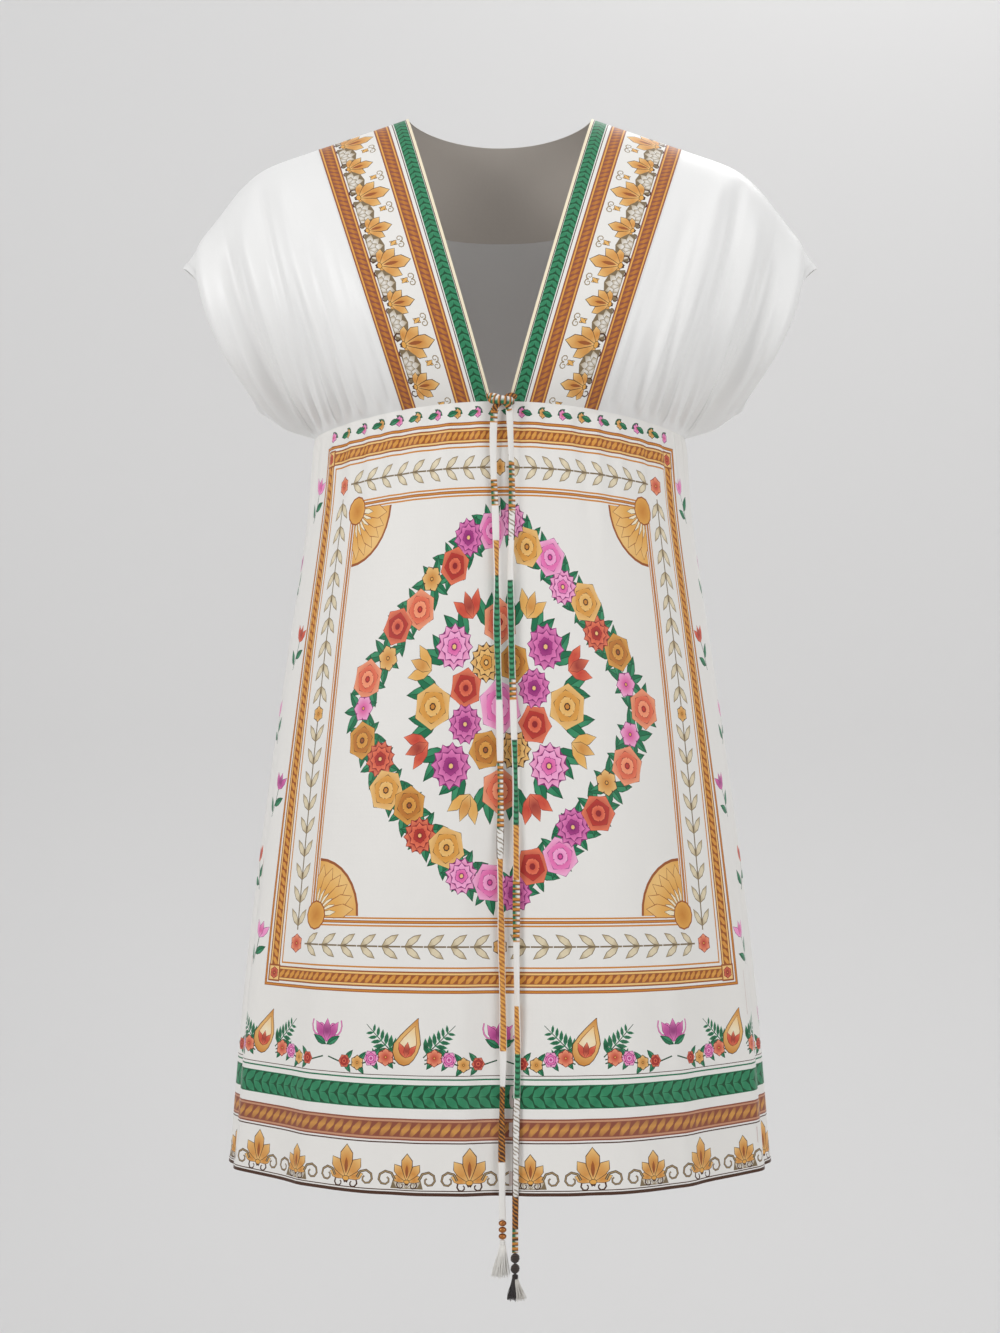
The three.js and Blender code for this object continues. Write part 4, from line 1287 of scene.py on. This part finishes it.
def skirt_spots():
    """Points of the flat panel, close together under the waist seam where it is gathered"""
    spots = []
    for low, high, pitch_x, pitch_y in SPOT_STRIPS:
        across = np.linspace(-PANEL_HALF, PANEL_HALF, round(2 * PANEL_HALF / pitch_x) + 1)[1:-1]
        up = np.linspace(low, high, max(2, round((high - low) / pitch_y)), endpoint=False)
        spots += [(x, y) for x in across for y in up]
    return spots


PANEL_TILES = 7
GATHER_SLACK = 3.0
panel_cut = cut_apart(skirt_print(), skirt_spots(), PANEL_TILES)


def behind_gathers(flat):
    """Slack of the panel's back: none low down or at the waist seam itself, and full under the seam"""
    return GATHER_SLACK * smooth(470, 550, flat[:, 1]) * (flat[:, 1] < SKIRT_LENGTH - 1)


for centre, name in ((0, "skirt_front"), (180, "skirt_back")):
    piece = printed_cloth("printed_" + name, panel_cut, skirt_place(centre), printed_viscose, behind_gathers)
    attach(piece, "root")
    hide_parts(name)

# The two ties: narrow strips cut from the printed cloth, folded and stitched to 6 mm wide. They leave
# the knot at the V point and hang flat, with a few slow twists, over the middle of the skirt.
TIE_WIDTH = 6.0
TIE_THICK = 1.7
TIE_L = table(
    "drop x y",
    (250.2, -4.5, -111.5),
    (275, -5.5, -111.5),
    (305, -5, -113),
    (340, -3.5, -115.5),
    (380, -3, -118),
    (425, -2.5, -120.5),
    (470, -1, -123),
    (520, 0, -125),
    (570, 0.5, -127),
    (620, 0, -129.5),
    (670, 1, -131),
    (720, 2, -133),
    (770, 2.5, -135),
    (815, 1.5, -136.5),
    (855, 1.5, -138.5),
    (898, 2, -139.5),
)
TIE_R = table(
    "drop x y",
    (250.2, 7.5, -111.5),
    (275, 8.5, -112),
    (305, 9.5, -113.5),
    (340, 9.5, -115.5),
    (380, 8.5, -118),
    (425, 9, -121),
    (470, 10, -123.5),
    (520, 11.5, -126),
    (570, 12.5, -128.5),
    (620, 13, -131),
    (670, 13, -133),
    (720, 13.5, -135),
    (770, 14, -137),
    (815, 13, -138.5),
    (855, 12.5, -140),
    (924, 12, -141),
)
# What each stretch of a tie shows, by how far down it starts
PLAIN, SMALL, BRAIDED, ROPED, DARK, LINED = range(6)
LEFT_STRETCHES = [
    (250, SMALL), (262, PLAIN), (308, SMALL), (329, PLAIN), (357, ROPED), (385, BRAIDED),
    (485, PLAIN), (534, SMALL), (588, LINED), (612, ROPED), (765, PLAIN), (793, DARK), (853, PLAIN),
]
RIGHT_STRETCHES = [
    (250, PLAIN), (293, SMALL), (333, LINED), (357, PLAIN), (389, BRAIDED), (468, SMALL), (485, PLAIN),
    (517, BRAIDED), (585, ROPED), (629, SMALL), (678, PLAIN), (729, ROPED), (767, BRAIDED),
    (802, LINED), (880, DARK), (905, SMALL),
]


def tie_ink(stretches, drop, across):
    """Ink over a tie: drop is how far down it is, and across runs from -1 to 1 over its face"""
    starts = np.array([s for s, _ in stretches])
    kind = np.array([k for _, k in stretches])[np.clip(np.searchsorted(starts, drop, "right") - 1, 0, None)]
    step = (drop / 4.2) % 1
    slant = ((drop + 2.6 * across) / 3.4) % 1
    chevron = ((drop + 2.4 * np.abs(across)) / 4.4) % 1
    ink = np.tile(linear(WHITE), (len(drop), 1))

    def paint(where, code):
        ink[where] = linear(code)

    small = kind == SMALL
    paint(small & (step < 0.38), OCHRE)
    paint(small & (step >= 0.38) & (step < 0.62), OUTLINE)
    paint(small & (step >= 0.62) & (across > 0), GREEN)
    braided = (kind == BRAIDED) & (np.abs(across) < 0.72)
    paint(braided, DARK_GREEN)
    paint(braided & (chevron < 0.55), LIGHT_GREEN)
    roped = (kind == ROPED) & (np.abs(across) < 0.8)
    paint(roped, ORANGE_BROWN)
    paint(roped & (slant < 0.6), GOLD)
    dark = kind == DARK
    paint(dark, OUTLINE)
    paint(dark & (slant < 0.35), OCHRE)
    lined = kind == LINED
    paint(lined & (slant < 0.24), TAUPE)
    paint(lined & (np.abs(across) > 0.8), OUTLINE)
    return ink


def select_only(obj):
    bpy.ops.object.select_all(action="DESELECT")
    obj.select_set(True)
    bpy.context.view_layer.objects.active = obj


def faced_out(piece):
    """Turns every face of a closed piece outwards"""
    select_only(piece)
    bpy.ops.object.mode_set(mode="EDIT")
    bpy.ops.mesh.select_all(action="SELECT")
    bpy.ops.mesh.normals_make_consistent(inside=False)
    bpy.ops.object.mode_set(mode="OBJECT")
    return piece


STRIP_SIDES = 14
strip_round = round_angles(STRIP_SIDES)


def strip(name, path, widths, thick, twists, ink):
    """A soft flat strip along a path in millimetres, with rounded folded edges and closed ends"""
    way = np.gradient(path, axis=0)
    way /= np.linalg.norm(way, axis=1, keepdims=True)
    side = np.cross(way, np.array([0.0, -1.0, 0.0]))
    side /= np.linalg.norm(side, axis=1, keepdims=True)
    out = np.cross(side, way)
    c, s = np.cos(strip_round), np.sin(strip_round)
    flat_x = np.sign(c) * np.abs(c) ** 0.6
    flat_y = np.sign(s) * np.abs(s) ** 0.8
    spin_c, spin_s = np.cos(twists)[:, None], np.sin(twists)[:, None]
    half = widths[:, None] / 2 * flat_x
    depth = thick / 2 * flat_y * np.ones_like(half)
    x, y = half * spin_c - depth * spin_s, half * spin_s + depth * spin_c
    points = path[:, None] + side[:, None] * x[..., None] + out[:, None] * y[..., None]
    rows = len(path)
    k = np.arange(rows * STRIP_SIDES).reshape(rows, STRIP_SIDES)
    nxt = np.roll(k, -1, axis=1)
    quads = np.stack([k[:-1], nxt[:-1], nxt[1:], k[1:]], -1).reshape(-1, 4).tolist()
    faces = quads + [k[0, ::-1].tolist(), k[-1].tolist()]
    loops = face_corners(faces)
    along_mm = np.repeat(lengths(path), STRIP_SIDES)
    uv = np.column_stack([np.tile(flat_x * TIE_WIDTH / 2, rows), along_mm]) / 1000
    return faced_out(new_piece(
        name, points.reshape(-1, 3), faces, None, uv[loops], ink[loops], printed_viscose
    ))


def strip_ink(stretches, drop):
    """Ink at each point of a strip with these stretches, for how far down each of its rows is"""
    return tie_ink(stretches, np.repeat(drop, STRIP_SIDES), np.tile(np.cos(strip_round), len(drop)))


TIES = (("l", TIE_L, LEFT_STRETCHES, 0.0), ("r", TIE_R, RIGHT_STRETCHES, 2.1))
ties = {}
for letter, rows, stretches, phase in TIES:
    drop = np.linspace(rows["drop"][0], rows["drop"][-1], round(rows["drop"][-1] - rows["drop"][0]) + 1)
    path = point(along(rows, "x", drop), along(rows, "y", drop), -drop)
    twist = 0.5 * np.sin(drop / 47 + phase) + 0.35 * np.sin(drop / 19 + 2 * phase)
    width = TIE_WIDTH * (0.93 + 0.07 * np.sin(drop / 13 + phase))
    ink = strip_ink(stretches, drop)
    ties[letter] = (strip("tie_" + letter + "_cloth", path, width, TIE_THICK, twist, ink), path)

# The knot: the ties' folded printed cloth, crossed over itself once at the V point and pulled snug,
# so that three flat turns of it show.
KNOT_THICK = 3.4
# Each turn of the knot: its width, what its print shows, and five points of its route
KNOT_TURNS = (
    (5.2, SMALL, ((-9.5, -106.5, -240), (-5, -112, -240.5), (1, -115.8, -243.5),
                  (6, -113.5, -248), (7.5, -111.5, -251.5))),
    (5.2, DARK, ((12.5, -106.5, -240.5), (8, -111.5, -240.2), (1.5, -113.6, -244.5),
                 (-3.4, -112.8, -248.5), (-4.5, -111.5, -252))),
    (7.0, SMALL, ((-6.5, -107.5, -243), (-5.5, -112.5, -243.5), (1.5, -117, -243.8),
                  (8.3, -112.5, -244.4), (9.2, -107.5, -244.5))),
)
knot_parts = []
for k, (widest, kind, route) in enumerate(KNOT_TURNS):
    rows = table("step x y z", *((j, *p) for j, p in enumerate(route)))
    step = np.linspace(0, 4, 33)
    path = point(*(along(rows, axis, step) for axis in "xyz"))
    width = widest * (0.85 + 0.15 * np.sin(np.pi * step / 4))
    ink = strip_ink([(0, kind)], lengths(path) + 3 * k)
    knot_parts.append(strip("knot_part", path, width, KNOT_THICK, 0.2 * np.sin(step), ink))
knot = knot_parts[0]
select_only(knot)
for part in knot_parts:
    part.select_set(True)
bpy.ops.object.join()
knot.name = "tied_knot"
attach(knot, "root")
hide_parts("tie_knot")

# Three glass beads, drilled through and a little flattened, one under the other at the end of the
# left tie. A thin metal lustre over the glass gives a cloudy coppery shine.
CLOUD_SIZE = 3.125
copper_glass, nodes = new_material("copper_lustre_glass_bead")
place = add(nodes, "ShaderNodeTexCoord")
cloud = add(nodes, "ShaderNodeTexNoise", {"Vector": place.outputs["Object"], "Detail": 2.0,
            "Scale": noise_scale(CLOUD_SIZE)})
tone = add(nodes, "ShaderNodeMix", {0: cloud.outputs["Fac"], 6: (*linear("#7A3D1C"), 1),
           7: (*linear("#D08A4A"), 1)}, data_type="RGBA")
surface = add(nodes, "ShaderNodeBsdfPrincipled", {
    "Base Color": tone.outputs[2], "Metallic": 0.7, "Roughness": 0.25})
add(nodes, "ShaderNodeOutputMaterial", {"Surface": surface.outputs[0]})


BEAD_RADIUS = 3.2
BEAD_HEIGHT = 4.9
SEAM_GAP = 0.3
HOLE_FROM = 0.96


def turned_bead(name, centre):
    """A round bead, drilled along Z: its pole caps are inset and pushed in as the hole's mouth"""
    bpy.ops.object.select_all(action="DESELECT")
    bpy.ops.mesh.primitive_uv_sphere_add(segments=20, ring_count=14, radius=1, location=(0, 0, 0))
    bead = bpy.context.object
    bead.name = name
    mesh = bead.data
    bpy.ops.object.mode_set(mode="EDIT")
    bpy.ops.mesh.select_all(action="DESELECT")
    bpy.ops.object.mode_set(mode="OBJECT")
    for polygon in mesh.polygons:
        polygon.select = abs(polygon.center.z) > HOLE_FROM
    bpy.ops.object.mode_set(mode="EDIT")
    bpy.ops.mesh.inset(thickness=0.06, depth=-0.25)
    bpy.ops.object.mode_set(mode="OBJECT")
    bead.location = [c / 1000 for c in centre]
    bead.scale = (BEAD_RADIUS / 1000, BEAD_RADIUS / 1000, BEAD_HEIGHT / 2000)
    select_only(bead)
    bpy.ops.object.transform_apply(location=True, rotation=True, scale=True)
    bpy.ops.object.shade_smooth_by_angle(angle=50 * DEGREE)
    mesh.materials.append(copper_glass)
    return bead


beads = []
hang = np.array([TIE_L["x"][-1], TIE_L["y"][-1], -TIE_L["drop"][-1] - SEAM_GAP])
for k in range(1, 4):
    centre = hang - [0, 0, BEAD_HEIGHT / 2]
    bead = turned_bead(f"copper_bead_{k}", centre)
    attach(bead, "root")
    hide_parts(f"bead_l_{k}")
    beads.append(bead)
    hang[2] -= BEAD_HEIGHT + SEAM_GAP

# The tassels: loose cotton threads under a bound head, white on the left tie, and half near-black
# and half white on the right one. Cotton is matt, and its twist shows as fine slanted ridges.
PLY_APART = 0.748
cotton_thread, nodes = new_material("loose_cotton_thread")
ink = add(nodes, "ShaderNodeVertexColor", layer_name="Ink")
place = add(nodes, "ShaderNodeUVMap", uv_map="Cloth")
ply = add(nodes, "ShaderNodeTexWave", {"Vector": place.outputs[0], "Distortion": 1.0,
          "Scale": wave_scale(PLY_APART)}, wave_type="BANDS", bands_direction="DIAGONAL")
raise_ply = add(nodes, "ShaderNodeBump", {"Strength": 0.4, "Distance": 0.0001, "Height": ply.outputs["Fac"]})
surface = add(nodes, "ShaderNodeBsdfPrincipled", {
    "Base Color": ink.outputs["Color"], "Roughness": 0.85, "Sheen Weight": 0.3,
    "Normal": raise_ply.outputs[0]})
add(nodes, "ShaderNodeOutputMaterial", {"Surface": surface.outputs[0]})

THREADS = 120
THREAD_SIDES = 4
THREAD_STEPS = 7
THREAD_RADIUS = 0.3
HEAD_SIDES = 12
HEAD_HEIGHT = 4
GOLDEN_ANGLE = math.pi * (3 - math.sqrt(5))


def tube_faces(k):
    """Faces round a tube and over its ends, for the numbers of the points in its rings"""
    nxt = np.roll(k, -1, axis=1)
    quads = np.stack([k[:-1], k[1:], nxt[1:], nxt[:-1]], -1).reshape(-1, 4)
    return quads.tolist() + [k[0].tolist(), k[-1, ::-1].tolist()]


def tassel(name, top, head_radius, spread_out, length, lean, codes):
    """Threads fanned out from under a head that is wound with thread. The colours are the head's,
    and those of the threads on the -X and on the +X side."""
    random = np.random.default_rng(11)
    points, faces, inks = [], [], []

    def tube(path, radius, code, sides):
        way = np.gradient(path, axis=0)
        way /= np.linalg.norm(way, axis=1, keepdims=True)
        side = np.cross(way, [0, 1, 0.01])
        side /= np.linalg.norm(side, axis=1, keepdims=True)
        out = np.cross(side, way)
        a = round_angles(sides)
        ring = side[:, None] * np.cos(a)[:, None] + out[:, None] * np.sin(a)[:, None]
        start = sum(map(len, points))
        points.append((path[:, None] + ring * np.reshape(radius, (-1, 1, 1))).reshape(-1, 3))
        faces.extend(tube_faces(np.arange(len(path) * sides).reshape(-1, sides) + start))
        inks.append(np.tile(linear(code), (len(path) * sides, 1)))

    w = np.linspace(0, 1, 13)
    winding = head_radius * (0.86 + 0.1 * np.cos(w * 2 * np.pi * 5)) * (0.72 + 0.28 * smooth(0, 0.3, w))
    winding[[0, -1]] *= 0.55
    tube(top + point(0 * w, 0 * w, -HEAD_HEIGHT * w), winding, codes[0], HEAD_SIDES)
    for k in range(THREADS):
        turn = k * GOLDEN_ANGLE
        out = math.sqrt((k + 0.5) / THREADS)
        root = head_radius * 0.8 * out
        tip = spread_out * out * random.uniform(0.8, 1.0)
        long = length * random.uniform(0.88, 1.0)
        s = np.linspace(0, 1, THREAD_STEPS)
        reach = root + (tip - root) * (0.35 * np.sin(np.pi * s / 2) + 0.65 * s**1.4)
        wave = random.uniform(0.2, 0.7) * np.sin(s * random.uniform(3, 7) + random.uniform(0, 6)) * s
        x = reach * math.cos(turn) + lean * s**1.5 + wave
        y = 0.6 * reach * math.sin(turn) + 0.4 * wave
        z = 0.6 - HEAD_HEIGHT - (long - HEAD_HEIGHT) * s
        code = codes[1] if x[-1] < lean else codes[2]
        tube(top + point(x, y, z), THREAD_RADIUS * (1 - 0.35 * s), code, THREAD_SIDES)
    loops = face_corners(faces)
    points, inks = np.vstack(points), np.vstack(inks)
    uv = np.column_stack([points[:, 0], points[:, 2]]) / 1000
    return faced_out(new_piece(name, points, faces, None, uv[loops], inks[loops], cotton_thread))


COTTON_WHITE = "#EFECE6"
SOILED_WHITE = "#D9D4CC"
NEAR_BLACK = "#2A2220"
left_tassel = tassel("white_tassel", hang, head_radius=2.6, spread_out=8, length=31, lean=-2,
                     codes=(COTTON_WHITE, COTTON_WHITE, COTTON_WHITE))
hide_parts("tassel_l")

# The two knots above the right tie's tassel: each is a tight winding of near-black cotton thread,
# with a brown strand that shows in some turns, round the end of the tie.
hang = np.array([TIE_R["x"][-1], TIE_R["y"][-1], -TIE_R["drop"][-1] - SEAM_GAP])
BOUND_RADIUS = 3.6
BOUND_HEIGHT = 8
BOUND_SIDES = 16
BOUND_TURNS = 20 / 3
BOUND_BROWN = "#5A4638"
w = np.linspace(0, 1, 41)
ball = BOUND_RADIUS * np.sqrt(np.maximum(0.08, 1 - (2 * w - 1) ** 2))
ball *= 1 - 0.06 * np.cos(w * 2 * np.pi * BOUND_TURNS)
a = round_angles(BOUND_SIDES)
ring = point(np.cos(a), np.sin(a), 0 * a)
bound_knots = []
for k in range(1, 3):
    centre = hang - [0, 0, BOUND_HEIGHT / 2]
    path = point(centre[0] + 0 * w, centre[1] + 0 * w, centre[2] + BOUND_HEIGHT * (0.5 - w))
    wound = path[:, None] + ring[None] * ball[:, None, None]
    wound[..., 2] += 0.35 * np.sin(a + k)[None] * np.sin(np.pi * w)[:, None]
    wound = wound.reshape(-1, 3)
    numbers = np.arange(len(wound))
    faces = tube_faces(numbers.reshape(-1, BOUND_SIDES))
    loops = face_corners(faces)
    inks = np.tile(linear(NEAR_BLACK), (len(wound), 1))
    inks[(numbers // BOUND_SIDES) % 6 == 0] = linear(BOUND_BROWN)
    uv = wound[:, [0, 2]] / 1000
    piece = new_piece(f"bound_knot_{k}", wound, faces, None, uv[loops], inks[loops], cotton_thread)
    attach(piece, "root")
    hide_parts(f"end_knot_r_{k}")
    bound_knots.append(piece)
    hang[2] -= BOUND_HEIGHT + SEAM_GAP
right_tassel = tassel("dark_and_white_tassel", hang, head_radius=2.8, spread_out=8.5, length=22, lean=1,
                      codes=(NEAR_BLACK, NEAR_BLACK, SOILED_WHITE))
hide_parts("tassel_r")

ends = {"l": (beads + [left_tassel], "fitting"), "r": (bound_knots + [right_tassel], "knot")}
for letter, (piece, path) in ties.items():
    hung, far_end = ends[letter]
    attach(piece, "root")
    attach(hung[-1], "root")
    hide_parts("tie_" + letter)
    route = (path / 1000)[::10].tolist() + [(path[-1] / 1000).tolist()]

# The studio: a pale grey paper sweep behind and below the dress, seen from its front only, a soft key
# light from the front left, a weaker fill from the right, and lights on the shoulders and the back.
sweep_paper, nodes = new_material("grey_background_paper")
surface = add(nodes, "ShaderNodeBsdfPrincipled", {"Base Color": (*linear("#DBDAD9"), 1), "Roughness": 0.95})
clear = add(nodes, "ShaderNodeBsdfTransparent")
side = add(nodes, "ShaderNodeNewGeometry")
either = add(nodes, "ShaderNodeMixShader", {0: side.outputs["Backfacing"], 1: surface.outputs[0],
             2: clear.outputs[0]})
add(nodes, "ShaderNodeOutputMaterial", {"Surface": either.outputs[0]})
FLOOR_Z = -1.35
profile = [(-4.0, 0.0), (0.6, 0.0)]
profile += [(0.6 + 0.8 * math.sin(a), 0.8 - 0.8 * math.cos(a)) for a in np.linspace(0.1, math.pi / 2, 14)]
profile.append((1.4, 4.2))
sweep = bpy.data.meshes.new("sweep")
corners = [(x, y, FLOOR_Z + z) for y, z in profile for x in (-5, 5)]
sweep.from_pydata(corners, [], [(2 * k, 2 * k + 1, 2 * k + 3, 2 * k + 2) for k in range(len(profile) - 1)])
sweep.polygons.foreach_set("use_smooth", [True] * len(sweep.polygons))
sweep.materials.append(sweep_paper)
sweep_piece = bpy.data.objects.new("sweep", sweep)
bpy.context.collection.objects.link(sweep_piece)

world = bpy.data.worlds.new("studio")
world.use_nodes = True
background = world.node_tree.nodes["Background"]
background.inputs["Color"].default_value = (0.9, 0.92, 0.95, 1)
background.inputs["Strength"].default_value = 0.44
bpy.context.scene.world = world
# Each light's name, place and aim in metres, size in metres and power in watts
LIGHTS = (
    ("key", (-2.6, -1.9, 1.1), (0, 0, -0.45), 1.4, 50),
    ("fill", (2.3, -2.4, 0.2), (0, 0, -0.45), 1.8, 27),
    ("top", (0.1, -0.6, 1.6), (0, 0, -0.3), 1.6, 8),
    ("backdrop", (1.8, -0.4, 0.6), (0.6, 1.4, -0.5), 1.6, 5),
    ("rear", (0.5, 1.15, 1.1), (0, 0, -0.4), 0.9, 11),
)
for name, at, aim, size, power in LIGHTS:
    data = bpy.data.lights.new(name, "AREA")
    data.size, data.energy = size, power
    light = bpy.data.objects.new(name, data)
    light.location = at
    light.rotation_euler = (Vector(aim) - Vector(at)).to_track_quat("-Z", "Y").to_euler()
    bpy.context.collection.objects.link(light)

camera_data = bpy.data.cameras.new("camera")
camera_data.sensor_width = 36
camera_data.lens = 83.56
camera = bpy.data.objects.new("camera", camera_data)
camera.location = (0, -2.6, -0.458)
camera.rotation_euler = (math.pi / 2, 0, 0)
bpy.context.collection.objects.link(camera)
bpy.context.scene.camera = camera
bpy.context.scene.view_settings.view_transform = "Standard"
